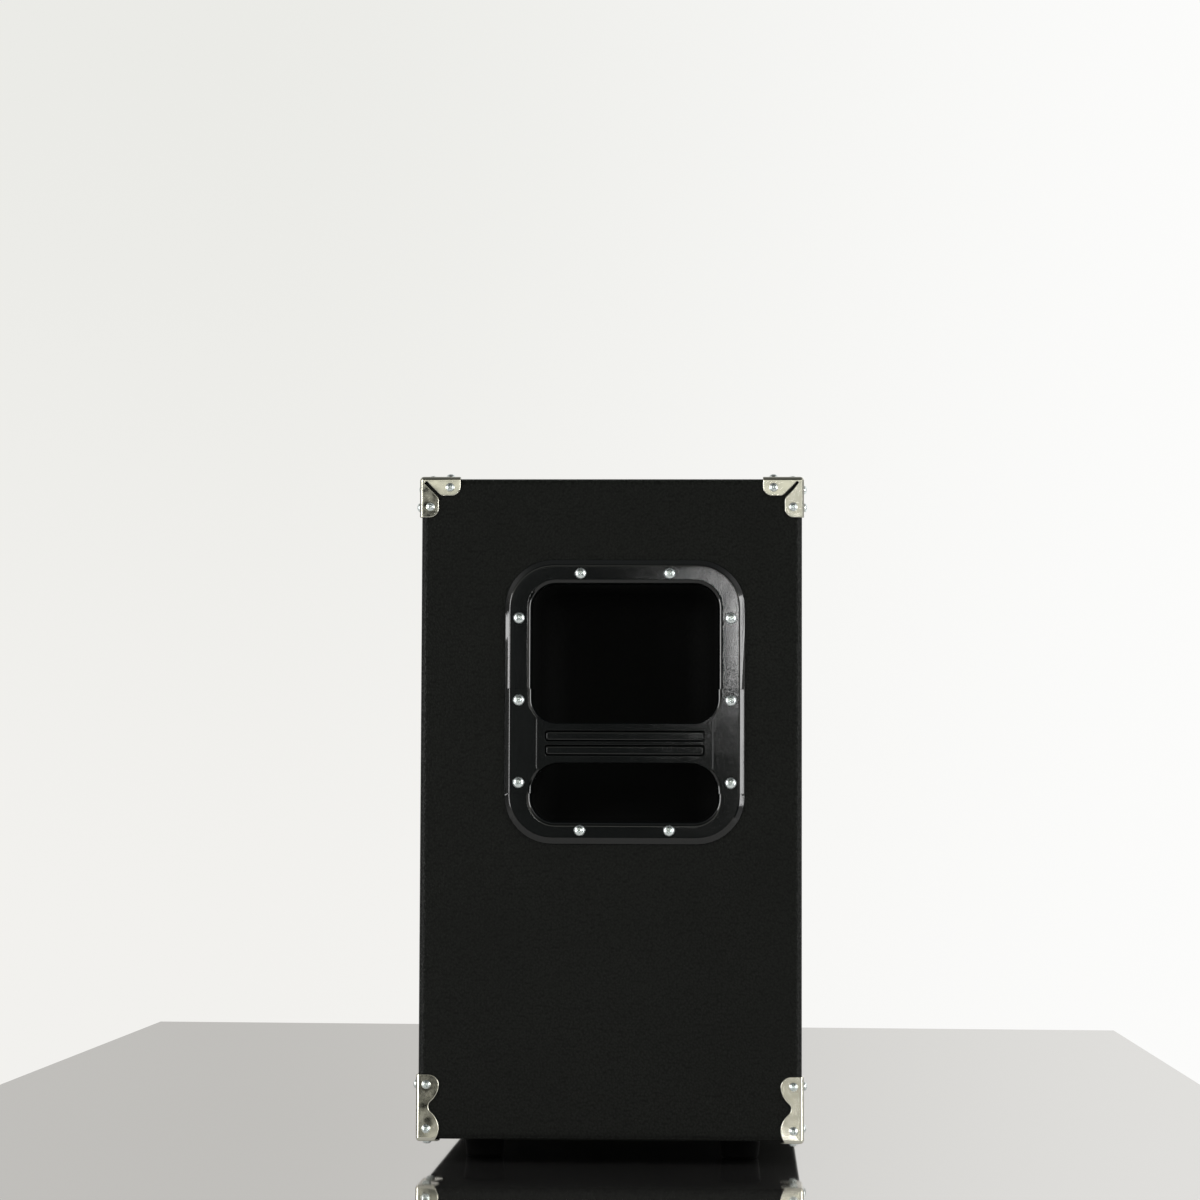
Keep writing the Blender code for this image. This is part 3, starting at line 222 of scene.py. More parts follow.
room = turning(way.outputs["X"], -0.25, -0.6, far_end, camera_end)
wall = turning(upward, -0.05, 0.22, "#f2f1ee", "#ebebe7")
backdrop = turning(leftward, 0.16, -0.16, wall, "#fcfcfb")

paths = add(world, "LightPath")
mirrored = add(world, "Math", {
    0: paths.outputs["Is Glossy Ray"], 1: paths.outputs["Is Transmission Ray"]}, operation="MAXIMUM")
fill = add(world, "Background", {"Color": "#f2f3f4", "Strength": 0.45})
shine = add(world, "Background", {"Color": room, "Strength": 1.0})
view = add(world, "Background", {"Color": backdrop, "Strength": 1.0})
lit = add(world, "MixShader", {"Fac": mirrored, 1: fill, 2: shine})
whole = add(world, "MixShader", {"Fac": paths.outputs["Is Camera Ray"], 1: lit, 2: view})
add(world, "OutputWorld", {"Surface": whole})
print("world: fill at", fill.inputs["Strength"].default_value)

# %% [markdown]
# Four soft lamps light the box and stay out of reflections. The two strips and the small window do the
# reverse: they show in gloss only, where they draw the lines along the handle's rims.

# %% Lamps


def lamp(name, place, aim, width, height, watts, diffuse=True, gloss=True):
    """A soft rectangular lamp that faces a point."""
    data = bpy.data.lights.new(name, "AREA")
    data.shape, data.size, data.size_y, data.energy = "RECTANGLE", width, height, watts
    made = linked(name, data)
    made.location = place
    made.rotation_mode = "QUATERNION"
    made.rotation_quaternion = (Vector(aim) - Vector(place)).to_track_quat("-Z", "Y")
    made.visible_diffuse, made.visible_glossy = diffuse, gloss


lamp("lamp_above", (-0.8, -0.35, 2.0), (-0.1, 0, 0.4), 1.8, 1.6, 20, gloss=False)
lamp("lamp_front_side", (0.5, -2.6, 1.3), (0, 0, 0.35), 1.6, 1.6, 30, gloss=False)
lamp("lamp_back_side", (0.5, 2.6, 1.3), (0, 0, 0.35), 1.6, 1.6, 24, gloss=False)
lamp("lamp_over_camera", (-2.0, -1.3, 1.9), (-0.3, 0, 0.4), 1.0, 1.0, 11, gloss=False)
lamp("strip_left", (-1.9, 2.5, 0.6), (-0.37, 0, 0.4), 0.9, 1.7, 42, diffuse=False)
lamp("strip_right", (-1.9, -2.7, 0.6), (-0.37, 0, 0.4), 0.9, 1.7, 42, diffuse=False)
lamp("window", (-6.0, -0.15, 0.75), (-0.37, -0.11, 0.47), 0.13, 0.22, 2.3, diffuse=False)

# %% [markdown]
# ## Embossed vinyl
# The cabinet is covered in PVC sheet with a leather grain, pressed in by a hot roller. Its pebbles are about
# 1.2 mm across, close to one pixel here, so they are drawn at 1.8 mm. The sheet also has soft wrinkles that
# run up the side. The grooves between pebbles stay duller than their tops, so the same pattern drives the
# roughness. The grooves are also painted darker than the tops, as painted shade. The underside, dragged
# over floors, has lost its sheen.

# %% Vinyl


def finish(name, **inputs):
    """A new material and its shader's sockets. Underscores stand for spaces."""
    made = blank(name)
    sockets = {key.replace("_", " "): value for key, value in inputs.items()}
    shader = add(made, "BsdfPrincipled", sockets)
    add(made, "OutputMaterial", {"Surface": shader})
    return made, shader.inputs


def patterned(material, kind, size, inputs=None, stretch=(1, 1, 1), **settings):
    """A texture on the piece's own coordinates, with features of a size in metres."""
    place = add(material, "TexCoord")
    spread = add(material, "Mapping", {
        "Vector": place.outputs["Object"], "Scale": tuple(1 / (size * part) for part in stretch)})
    return add(material, kind, {"Vector": spread, "Scale": 1.0, **(inputs or {})}, **settings)


PEBBLE = 1.8
vinyl, surface = finish("embossed_black_vinyl", IOR=1.5, Specular_IOR_Level=0.14)
pebbles = patterned(vinyl, "TexVoronoi", PEBBLE * MM, {"Randomness": 0.9, "Smoothness": 0.6}, (1, 1, 1.25),
                    feature="SMOOTH_F1")
wrinkles = patterned(vinyl, "TexNoise", 4.5 * MM, {"Detail": 3.0, "Roughness": 0.55}, (0.5, 0.5, 2.0))
patches = patterned(vinyl, "TexNoise", 70 * MM, {"Detail": 2.0})
soft = add(vinyl, "Bump", {"Height": wrinkles, "Distance": 0.2 * MM, "Strength": 0.5})
add(vinyl, "Bump", {"Height": pebbles, "Distance": -0.5 * MM, "Strength": 1.0, "Normal": soft},
    to=surface["Normal"])
wear = add(vinyl, "MapRange",
           {"Value": pebbles, "From Min": 0.1, "From Max": 0.7, "To Min": 0.36, "To Max": 0.52})
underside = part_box("vinyl_covering")[0].z
place = add(vinyl, "SeparateXYZ", {"Vector": add(vinyl, "TexCoord").outputs["Object"]})
scuffed = add(vinyl, "MapRange", {
    "Value": place.outputs["Z"], "From Min": underside + 2 * MM, "From Max": underside + 1 * MM})
add(vinyl, "Mix", {"Factor": scuffed, "A": wear, "B": 1.0}, to=surface["Roughness"])
tone = add(vinyl, "Mix", {"Factor": patches, "A": "#10120f", "B": "#181a17"}, data_type="RGBA")
# Painted shade: the grooves between pebbles are painted darker, towards #050604.
groove_shade = add(vinyl, "MapRange", {"Value": pebbles, "From Min": 0.25, "From Max": 0.75})
add(vinyl, "Mix", {"Factor": groove_shade, "A": tone, "B": "#050604"}, to=surface["Base Color"], data_type="RGBA")
print("vinyl pebbles", PEBBLE, "mm")

# %% [markdown]
# ## Moulded plastic
# The handle and the jack dish are moulded in black ABS, with the polish of the mould. Flat walls sink a
# little as they cool, so reflections swim. A slow noise does that, and a finer one gives the faint scuffing
# that breaks up a bright reflection. Inside the cup the mould was spark-eroded, which leaves a fine matt
# grit, drawn at 1.5 mm. That inner finish also has a darker base colour and a weaker gloss, which is painted
# shade deep in the cup.

# %% Plastic
SINK = 26


def uneven(material, surface, pattern, low, high):
    """Lets the roughness follow a pattern between two values."""
    add(material, "MapRange", {
        "Value": pattern, "From Min": 0.3, "From Max": 0.7, "To Min": low, "To Max": high},
        to=surface["Roughness"])


abs_plastic, surface = finish("moulded_black_abs", Base_Color="#0b0d0d", IOR=1.54)
sink = patterned(abs_plastic, "TexNoise", SINK * MM, {"Detail": 1.0})
scuffs = patterned(abs_plastic, "TexNoise", 1.7 * MM, {"Detail": 4.0, "Roughness": 0.7})
hollow = add(abs_plastic, "Bump", {"Height": sink, "Distance": 0.9 * MM, "Strength": 0.08})
add(abs_plastic, "Bump", {"Height": scuffs, "Distance": 0.05 * MM, "Strength": 0.6, "Normal": hollow},
    to=surface["Normal"])
uneven(abs_plastic, surface, scuffs, 0.04, 0.08)

# Partly painted shade: besides its real matt grit, the cup's inner finish has a darker base colour and weaker
# gloss.
matt_shaded_abs, surface = finish("spark_eroded_shaded_black_abs", Base_Color="#080908", IOR=1.54,
                                 Specular_IOR_Level=0.1)
grit = patterned(matt_shaded_abs, "TexNoise", 1.5 * MM, {"Detail": 3.0})
add(matt_shaded_abs, "Bump", {"Height": grit, "Distance": 0.1 * MM, "Strength": 0.4}, to=surface["Normal"])
uneven(matt_shaded_abs, surface, grit, 0.7, 0.85)
print("plastic sinks over", SINK, "mm")

# %% [markdown]
# ## Plated steel
# The corners are pressed sheet steel with bright nickel, a warm white metal. The screws, washers and jack
# nuts are zinc-plated, bluer and duller. Both take their colour from what they reflect, so their roughness
# matters most: a broken noise in it stands for the smears of handling.

# %% Metals
nickel, surface = finish("nickel_plated_steel", Base_Color="#d9d7ca", Metallic=1.0)
smears = patterned(nickel, "TexNoise", 7 * MM, {"Detail": 3.0})
dents = patterned(nickel, "TexNoise", 11 * MM, {"Detail": 0.0})
uneven(nickel, surface, smears, 0.06, 0.18)
add(nickel, "Bump", {"Height": dents, "Distance": 0.5 * MM, "Strength": 0.25}, to=surface["Normal"])

zinc, surface = finish("zinc_plated_steel", Metallic=1.0)
spangle = patterned(zinc, "TexNoise", 1.6 * MM, {"Detail": 2.0})
add(zinc, "Mix", {"Factor": spangle, "A": "#ccd8da", "B": "#fbfffd"},
    to=surface["Base Color"], data_type="RGBA")
uneven(zinc, surface, spangle, 0.2, 0.34)
print("metals:", nickel.name, zinc.name)

# %% [markdown]
# ## Plywood and pine
# Birch plywood of 18 mm has 13 veneers, each laid across the last, so its edge is banded every 1.4 mm and
# its face shows one veneer's grain. A solid texture gives both: a point's depth divided by 1.4 mm says which
# veneer it lies in, and every second one is darker. The rule is made once per axis.

# %% Woods
VENEER = 18 * MM / 13


def plywood(axis, light, dark):
    """Plywood whose veneers are stacked along one axis, 0 to 2, in two sRGB tones."""
    made, surface = finish("birch_plywood_" + "xyz"[axis], Roughness=0.62)
    grain = patterned(made, "TexNoise", 6 * MM, {"Detail": 5.0, "Roughness": 0.6},
                      [8 if i == (axis + 1) % 3 else 0.6 for i in range(3)])
    place = add(made, "TexCoord")
    parts = add(made, "SeparateXYZ", {"Vector": place.outputs["Object"]})
    layer = add(made, "Math", {0: parts.outputs[axis], 1: 2 * VENEER}, operation="DIVIDE")
    share = add(made, "Math", {0: layer}, operation="FRACT")
    second = add(made, "Math", {0: share, 1: 0.5}, operation="GREATER_THAN")
    streaks = add(made, "MapRange", {"Value": grain, "From Min": 0.3, "From Max": 0.72})
    tone = add(made, "Mix", {"Factor": streaks, "A": dark, "B": light}, data_type="RGBA")
    add(made, "Mix", {"Factor": second, "A": tone, "B": dark}, to=surface["Base Color"], data_type="RGBA")
    add(made, "Bump", {"Height": grain, "Distance": 0.2 * MM, "Strength": 0.4}, to=surface["Normal"])
    return made


birch = [plywood(axis, "#d8bd93", "#b08d5e") for axis in range(3)]

painted_ply, surface = finish("black_painted_plywood", Base_Color="#151514")
brushed = patterned(painted_ply, "TexNoise", 5 * MM, {"Detail": 5.0, "Roughness": 0.6}, (9, 0.6, 0.6))
add(painted_ply, "Bump", {"Height": brushed, "Distance": 0.3 * MM, "Strength": 0.5}, to=surface["Normal"])
uneven(painted_ply, surface, brushed, 0.55, 0.8)


def pine(axis):
    """Sawn pine with its grain along one axis: pale early wood and darker rings."""
    made, surface = finish("sawn_pine_" + "xyz"[axis], Roughness=0.68)
    along = [6 if i == axis else 1 for i in range(3)]
    rings = patterned(made, "TexWave", 30 * MM, {"Distortion": 3.0, "Detail": 2.0}, along, wave_type="RINGS",
                      rings_direction="XYZ"[axis])
    add(made, "Mix", {"Factor": rings.outputs["Fac"], "A": "#e0c592", "B": "#b98b55"},
        to=surface["Base Color"], data_type="RGBA")
    add(made, "Bump", {"Height": rings.outputs["Fac"], "Distance": 0.15 * MM, "Strength": 0.4},
        to=surface["Normal"])
    return made


pines = [pine(axis) for axis in range(3)]
print("woods:", len(birch) + len(pines) + 1)

# %% [markdown]
# ## Cloth, rubber, foam and tape
# Grille cloth is a plain weave of coated threads about 0.8 mm apart, drawn at 3 mm to show. The weave is the
# product of two sines, so that each thread rises where it passes over and sinks where it passes under. Its
# colour is painted lighter where a thread rises and darker where it sinks, as painted light and shade.
# Rubber, foam and hook tape are dull and differ by the size of their pores.

# %% Soft finishes
THREAD = 3.0 * MM
cloth, surface = finish("woven_grille_cloth", Roughness=0.85, Sheen_Weight=0.08, Specular_IOR_Level=0.2)
place = add(cloth, "TexCoord")
parts = add(cloth, "SeparateXYZ", {"Vector": place.outputs["Object"]})
waves = []
for axis in ("X", "Z"):
    phase = add(cloth, "Math", {0: parts.outputs[axis], 1: math.pi / THREAD}, operation="MULTIPLY")
    waves.append(add(cloth, "Math", {0: phase}, operation="SINE"))
weave = add(cloth, "Math", {0: waves[0], 1: waves[1]}, operation="MULTIPLY")
# Painted light and shade: the cloth's colour follows the height of the weave, lighter on the tops of threads.
raised = add(cloth, "MapRange", {"Value": weave, "From Min": -0.8, "From Max": 0.8})
add(cloth, "Mix", {"Factor": raised, "A": "#070708", "B": "#232324"},
    to=surface["Base Color"], data_type="RGBA")
add(cloth, "Bump", {"Height": weave, "Distance": 0.4 * MM, "Strength": 0.7}, to=surface["Normal"])


def porous(name, colour, roughness, pore, depth):
    """A dull black finish whose surface is broken by pores of a size in metres."""
    made, surface = finish(name, Base_Color=colour, Specular_IOR_Level=0.06)
    pores = patterned(made, "TexVoronoi", pore)
    add(made, "Bump", {"Height": pores, "Distance": depth, "Strength": 0.6}, to=surface["Normal"])
    add(made, "MapRange", {"Value": pores, "From Max": 0.8, "To Min": roughness - 0.08, "To Max": roughness},
        to=surface["Roughness"])
    return made


rubber = porous("moulded_black_rubber", "#060606", 0.72, 0.9 * MM, 0.1 * MM)
foam = porous("black_foam_strip", "#222222", 0.97, 1.4 * MM, 0.8 * MM)
hook_tape = porous("black_nylon_hook_tape", "#161617", 0.9, 1.5 * MM, 1.0 * MM)
print("thread spacing", THREAD * 1000, "mm")

# %% [markdown]
# ## Finishes on the frame
# Most inner pieces already have the right shape and only need their finish. Each wood node takes the version
# whose grain or stack follows its longest or thinnest side.

# %% Dress the nodes
PLAIN = {"baffle": painted_ply, "grille_frame": painted_ply, "back_seal": foam}
WORDS = {"foot_screw": zinc, "foot": rubber, "tee_nut": zinc, "jack_dish": abs_plastic, "jack": zinc,
         "handle": abs_plastic, "corner": nickel, "hook": hook_tape, "loop": hook_tape, "vinyl": vinyl,
         "covering": vinyl, "cloth": cloth}


def node_finish(name):
    low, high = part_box(name)
    size = list(high - low)
    if name in PLAIN:
        return PLAIN[name]
    if name.endswith("panel"):
        return birch[size.index(min(size))]
    if "batten" in name or name == "centre_post":
        return pines[size.index(max(size))]
    return next(made for word, made in WORDS.items() if word in name)


for name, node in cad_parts.items():
    chosen = node_finish(name)
    for slot in node.material_slots:
        slot.material = chosen
print("dressed", len(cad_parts), "nodes")

# %% [markdown]
# ## Tools for shapes
# Most moulded pieces here are stacks of rounded rectangles: a flange, a lip that rolls over, a wall that
# runs in. One tool makes such a ring from a square whose corners are bevelled, and another carries it
# through all its levels to a closed shape.

# %% Rings and lofts


def outward(bm):
    """Points the faces of a closed shape outwards."""
    ops.recalc_face_normals(bm, faces=bm.faces)
    if bm.calc_volume(signed=True) < 0:
        ops.reverse_faces(bm, faces=bm.faces)
    return bm


def bevelled(bm, geom, radius, steps, affect="EDGES", **settings):
    """Rounds edges, or the corners of a flat face, over a radius in metres."""
    ops.bevel(bm, geom=geom, offset=radius, offset_type="OFFSET", segments=steps, profile=0.5,
              affect=affect, material=-1, **settings)


def ring(bm, sides, height, radius, steps):
    """A rounded rectangle of loose edges. sides are left, right, bottom and top."""
    left, right, bottom, top = sides
    known = set(bm.faces)
    corners = ops.create_grid(bm, x_segments=1, y_segments=1, size=0.5)["verts"]
    laid(bm, corners, (right - left, top - bottom, 1), ((left + right) / 2, (bottom + top) / 2, height))
    bevelled(bm, corners, radius, steps, "VERTICES")
    face = next(face for face in bm.faces if face not in known)
    edges = list(face.edges)
    ops.delete(bm, geom=[face], context="FACES_ONLY")
    return edges


def verts_in(geom):
    return [part for part in geom if isinstance(part, bmesh.types.BMVert)]


def loft(rings, steps=10):
    """A closed shape through rings, each (height, left, right, bottom, top, radius) in millimetres. One even
    ring is extruded level by level, and then its points are moved."""
    bm = bmesh.new()
    loop = ring(bm, (-1, 1, -1, 1), 0, 0.5, steps)
    ops.edgeloop_fill(bm, edges=loop)
    for _ in rings[1:]:
        grown_part = ops.extrude_edge_only(bm, edges=loop)["geom"]
        fresh = verts_in(grown_part)
        ops.translate(bm, vec=(0, 0, 1), verts=fresh)
        edges = [part for part in grown_part if isinstance(part, bmesh.types.BMEdge)]
        loop = [edge for edge in edges if set(fresh).issuperset(edge.verts)]
    ops.edgeloop_fill(bm, edges=loop)
    for vert in bm.verts:
        height, left, right, bottom, top, radius = rings[round(vert.co.z)]
        x = right - radius if vert.co.x > 0 else left + radius
        y = top - radius if vert.co.y > 0 else bottom + radius
        way = Vector([2 * value - math.copysign(1, value) for value in vert.co.xy])
        vert.co = Vector((x + radius * way.x, y + radius * way.y, height)) * MM
    return outward(bm)


def prism(points, low, high):
    """A flat outline of (x, y) or (x, y, rounding) in millimetres, from low to high."""
    bm = bmesh.new()
    corners = [bm.verts.new((x * MM, y * MM, low * MM)) for x, y, *_ in points]
    bm.faces.new(corners)
    for corner, (_, _, *rounding) in zip(corners, points):
        if rounding:
            bevelled(bm, [corner], rounding[0] * MM, 8, "VERTICES")
    raised = verts_in(ops.extrude_face_region(bm, geom=bm.faces[:])["geom"])
    ops.translate(bm, vec=(0, 0, (high - low) * MM), verts=raised)
    return outward(bm)


def block(low, high, radius=0.0, steps=4):
    """A box between two corners in millimetres, with all its edges rounded."""
    low, high = Vector(low) * MM, Vector(high) * MM
    bm = bmesh.new()
    ops.create_cube(bm, size=1.0)
    laid(bm, bm.verts, high - low, (low + high) / 2)
    if radius:
        bevelled(bm, bm.edges[:], radius * MM, steps)
    return bm


def moved(bm, matrix):
    ops.transform(bm, matrix=matrix, verts=bm.verts)
    return bm


def axes(origin, x_axis, y_axis, z_axis):
    """A matrix that lays a shape's own axes along three directions from an origin."""
    matrix = Matrix((x_axis, y_axis, z_axis)).transposed().to_4x4()
    matrix.translation = origin
    return matrix


print("a ring has", len(ring(bmesh.new(), (-1, 1, -1, 1), 0, 0.2, 10)), "edges")

# %% [markdown]
# Every finished piece is told which body carries it, which material it takes and which plain nodes it
# stands for.

# %% Joining, cutting and finishing


def combined(first, *others, operation="DIFFERENCE"):
    """A closed shape after others are cut from it, joined to it or kept in common."""
    body = as_object(first, "body")
    tools = [as_object(other, f"tool_{number}") for number, other in enumerate(others)]
    for tool in tools:
        step = body.modifiers.new(tool.name, "BOOLEAN")
        step.operation, step.object, step.solver = operation, tool, "EXACT"
    bpy.context.view_layer.update()
    mesh = bpy.data.meshes.new_from_object(body.evaluated_get(bpy.context.evaluated_depsgraph_get()))
    result = bmesh.new()
    result.from_mesh(mesh)
    ops.remove_doubles(result, verts=result.verts, dist=1e-6)
    for used in (body, *tools):
        shape = used.data
        bpy.data.objects.remove(used)
        bpy.data.meshes.remove(shape)
    bpy.data.meshes.remove(mesh)
    return result


def piece(name, bm, material, stands_for=(), body="cabinet", crease=35):
    """A finished piece that rides on a body, smooth up to the crease angle."""
    made = as_object(bm, name)
    made.data.materials.append(material)
    made.data.shade_smooth()
    made.data.set_sharp_from_angle(angle=math.radians(crease))
    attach(made, body)
    if stands_for:
        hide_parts(*stands_for)
    print(name, len(made.data.polygons), "faces")
    return made


def even_shading(made):
    """Weights normals by face size, so that large faces stay flat beside small roundings."""
    made.modifiers.new("even shading", "WEIGHTED_NORMAL").keep_sharp = True


def thickened(made, thickness):
    """Gives an open skin its thickness, inwards from its outer side."""
    wall = made.modifiers.new("sheet thickness", "SOLIDIFY")
    wall.thickness, wall.offset, wall.use_even_offset = thickness, -1, True
    even_shading(made)


# %% [markdown]
# ## Vinyl covering
# One sheet goes round the four sides, and its edges turn in over the front and the back of the plywood. The
# outside is a bevelled box. At each end the face is inset to a border, rolled over a small radius in a few
# insets, run inwards, and opened. Solidify gives the sheet its 0.8 mm.

# %% Covering
low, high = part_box("vinyl_covering")
SHEET = 0.8 * MM
BORDER, ROLL, TURN_IN, EDGE = 14.2 * MM, 1.6 * MM, 20 * MM, 6


def inset(bm, face, inward, depth):
    ops.inset_region(bm, faces=[face], thickness=inward, depth=depth, use_boundary=True, use_even_offset=True)


def rolled(radius, steps=8):
    """Points of a quarter circle that starts level: how far in is left to go, and how far down it is."""
    turns = [math.pi / 2 * i / steps for i in range(steps + 1)]
    return [(radius * (1 - math.sin(turn)), radius * (1 - math.cos(turn))) for turn in turns]


def facing(bm, way):
    """The largest face that looks along a direction."""
    faces = [face for face in bm.faces if face.normal.dot(Vector(way)) > 0.99]
    return max(faces, key=lambda face: face.calc_area())


covering = block(low / MM, high / MM, EDGE, 8)
covering.normal_update()
roll = rolled(ROLL, 5)
for way in ((0, -1, 0), (0, 1, 0)):
    end = facing(covering, way)
    inset(covering, end, BORDER - ROLL, 0)
    for (out, down), (next_out, next_down) in zip(roll, roll[1:]):
        inset(covering, end, out - next_out, down - next_down)
    inset(covering, end, 0, ROLL - TURN_IN)
    ops.delete(covering, geom=[end], context="FACES")
print("covering", millimetres(low, high), "mm, before its handle openings")

# %% [markdown]
# The two sides open round the handles. Each side's flat face is taken out, a rounded ring is set in its
# plane, and the space between the two loops is filled.

# %% Handle openings in the covering
HANDLE_X, HANDLE_Y, HANDLE_Z = 370.3 * MM, -12.5 * MM, 410 * MM
OPEN_HALF, OPEN_BOTTOM, OPEN_TOP, OPEN_CORNER = 83, -107, 105, 21  # in millimetres
OPEN_SIDES = (-OPEN_HALF, OPEN_HALF, OPEN_BOTTOM, OPEN_TOP)
ROOM = 4.5
SIDES = ((-1, "left"), (1, "right"))


def grown(amount, sides=OPEN_SIDES):
    """Rectangle sides moved out by an amount all round."""
    left, right, bottom, top = sides
    return left - amount, right + amount, bottom - amount, top + amount


def handle_place(side):
    """Lays a handle on one side, -1 or 1: its own X across the side, its Y up and its Z outwards."""
    return axes((side * HANDLE_X, HANDLE_Y, HANDLE_Z), (0, side, 0), (0, 0, 1), (side, 0, 0))


def pierced(bm, face, sides, radius, place):
    """Replaces a flat face by one with a rounded opening."""
    outer = list(face.edges)
    known = set(bm.verts)
    ops.delete(bm, geom=[face], context="FACES_ONLY")
    inner = ring(bm, [value * MM for value in sides], 0, radius * MM, 10)
    ops.transform(bm, matrix=place, verts=[vert for vert in bm.verts if vert not in known])
    ops.triangle_fill(bm, use_beauty=True, edges=outer + inner)


for side, _ in SIDES:
    place = handle_place(side)
    place.translation.x = side * high.x
    pierced(covering, facing(covering, (side, 0, 0)), grown(ROOM), OPEN_CORNER + ROOM, place)
ops.recalc_face_normals(covering, faces=covering.faces)
thickened(piece("covering", covering, vinyl, ["vinyl_covering"]), SHEET)

# %% [markdown]
# ## Handle cup
# The recessed handle is moulded in two parts. The cup has a wide flange with a sloped rim, a lip that rolls
# into the opening, straight walls, and a floor that climbs towards the back. It is one stack of rings: up
# the outside of the cup, out under the flange, up its rim, across its land, over the lip and down the
# inside. Its roundings make the bright lines of the photograph.

# %% Cup profile
FLANGE, FLANGE_CORNER = (-107.5, 107.5, -127, 127), 43
RISE, RIM_EDGE, RIM_SLOPE, LIP = 4.5, 1.2, 5.0, 4.5
WALL, DEPTH, STRAIGHT, SOFTEN = 3.5, 88.0, 32.0, 12.0
DRAFT, CLIMB, BACK_ROUND, LEAST_CORNER = 6.5, 48.0, 24.0, 7


def softened(points, reach, steps=4):
    """A line of points with its inner corners rounded over a reach."""
    points = [Vector(point) for point in points]
    result = [points[0]]
    for before, corner, after in zip(points, points[1:], points[2:]):
        start = corner + (before - corner).normalized() * min(reach, (before - corner).length / 2)
        end = corner + (after - corner).normalized() * min(reach, (after - corner).length / 2)
        for i in range(steps + 1):
            t = i / steps
            result.append(start * (1 - t) ** 2 + corner * 2 * t * (1 - t) + end * t ** 2)
    return [tuple(point) for point in (*result, points[-1])]


def cup_ring(depth, grow, inward=0.0):
    """The cup's section at a depth: beyond the straight part its sides lean in and its floor climbs."""
    into = max(0.0, depth - (STRAIGHT - SOFTEN))
    share = (into ** 2 / (4 * SOFTEN) if into < 2 * SOFTEN else into - SOFTEN) / (DEPTH - STRAIGHT)
    shrink, floor = DRAFT * share, CLIMB * share
    left, right, bottom, top = grown(grow - inward)
    radius = max(OPEN_CORNER + grow - shrink / 2 - inward, LEAST_CORNER)
    return (-depth, left + shrink, right - shrink, bottom + floor, top - shrink, radius)


def cup_wall(grow):
    """Rings down the wall, of which the last ones round into the back wall."""
    back, rounding = DEPTH + grow, BACK_ROUND + grow
    depths = [LIP, 14, *range(20, 45, 3), 52, back - rounding]
    rings = [cup_ring(depth, grow) for depth in depths]
    return rings + [cup_ring(back - out, grow, down) for out, down in rolled(rounding)[1:]]


def levels(profile, sides, corner):
    """Rings of one rounded rectangle, grown by its own offset at each level of a profile."""
    return [(level, *grown(offset, sides), corner + offset) for level, offset in profile]


rim = softened([(0, 0), (0, RIM_EDGE), (RIM_SLOPE, RISE), (RIM_SLOPE + 3, RISE)], 0.9)
rim_rings = levels([(height, -inward) for inward, height in rim], FLANGE, FLANGE_CORNER)
lip_rings = levels([(RISE - down, out) for out, down in rolled(LIP)], OPEN_SIDES, OPEN_CORNER)
cup_rings = [*reversed(cup_wall(WALL)), (0, *grown(WALL), OPEN_CORNER + WALL), *rim_rings, *lip_rings,
             *cup_wall(0)]
print("cup:", len(cup_rings), "rings, lip radius", LIP, "mm")

# %% [markdown]
# The bar piece sits in a seat across the flange, so that its top is level with the flange's. The seat is the
# bar piece's own end outline with a hair's room round it, run along the height it covers, and it is cut from
# the cup.

# %% Seat for the bar piece
BAR_TOP, BAR_BOTTOM, HAIR = 11.2, -81.7, 0.35
LEDGE, SEAT_GAP, STEP_IN, SIDE_WALL, SIDE_DEPTH = 1.8, 0.3, 0.9, 2.3, 26.0
UPRIGHT = axes((0, 0, 0), (1, 0, 0), (0, 0, 1), (0, -1, 0))


def bar_section(room, above):
    """The bar piece seen from its end: wide over the flange's ledges, narrower inside the cup."""
    narrow = OPEN_HALF - STEP_IN + SIDE_WALL + room
    ledge, floor, wide = LEDGE + SEAT_GAP - room, -SIDE_DEPTH - room, FLANGE[1] + 2.5
    half = [(wide, above), (wide, ledge), (narrow, ledge), (narrow, floor)]
    return [(-x, y) for x, y in half] + half[::-1]


def upright(points, bottom, top):
    """An outline drawn across the width and the depth, run up from bottom to top."""
    return moved(prism(points, -top, -bottom), UPRIGHT)


cup = combined(loft(cup_rings), upright(bar_section(HAIR, RISE + 3), BAR_BOTTOM - HAIR, BAR_TOP + HAIR))
print("cup after its seat:", len(cup.faces), "faces")

# %% [markdown]
# ## Handle bar
# The bar piece is H-shaped: two lands that lie on the cup's ledges and carry on its flange, and the grip
# between them, with two raised pads on its face. It starts as the same end outline and keeps only what lies
# under the flange's rim shape. Then the two hand openings, a shallow window across the grip and a groove for
# each pad are cut, and the pads are joined on. Each cutter flares at its mouth, which leaves a rounded edge.
# A screwed-down moulding never lies quite level, so the bar piece is tipped by a quarter of a degree, and
# reflections break at its seams.

# %% Bar openings
UPPER_BOTTOM, LOWER_TOP, LOWER_CORNER, BAR_MIDDLE = -19.0, -55.0, 24, -37.0
FRONT_ROUND, BACK_ROUND_BAR, PANEL, TIP = 2.5, 9.0, 3.3, 0.25
WINDOW, GROOVE, PAD = (156.4, 48.0, 3), (142.6, 10.0, 2.6), (139.7, 7.2, 2.2)  # width, height, corner radius
PAD_MIDDLES = (BAR_MIDDLE + 6.4, BAR_MIDDLE - 6.4)


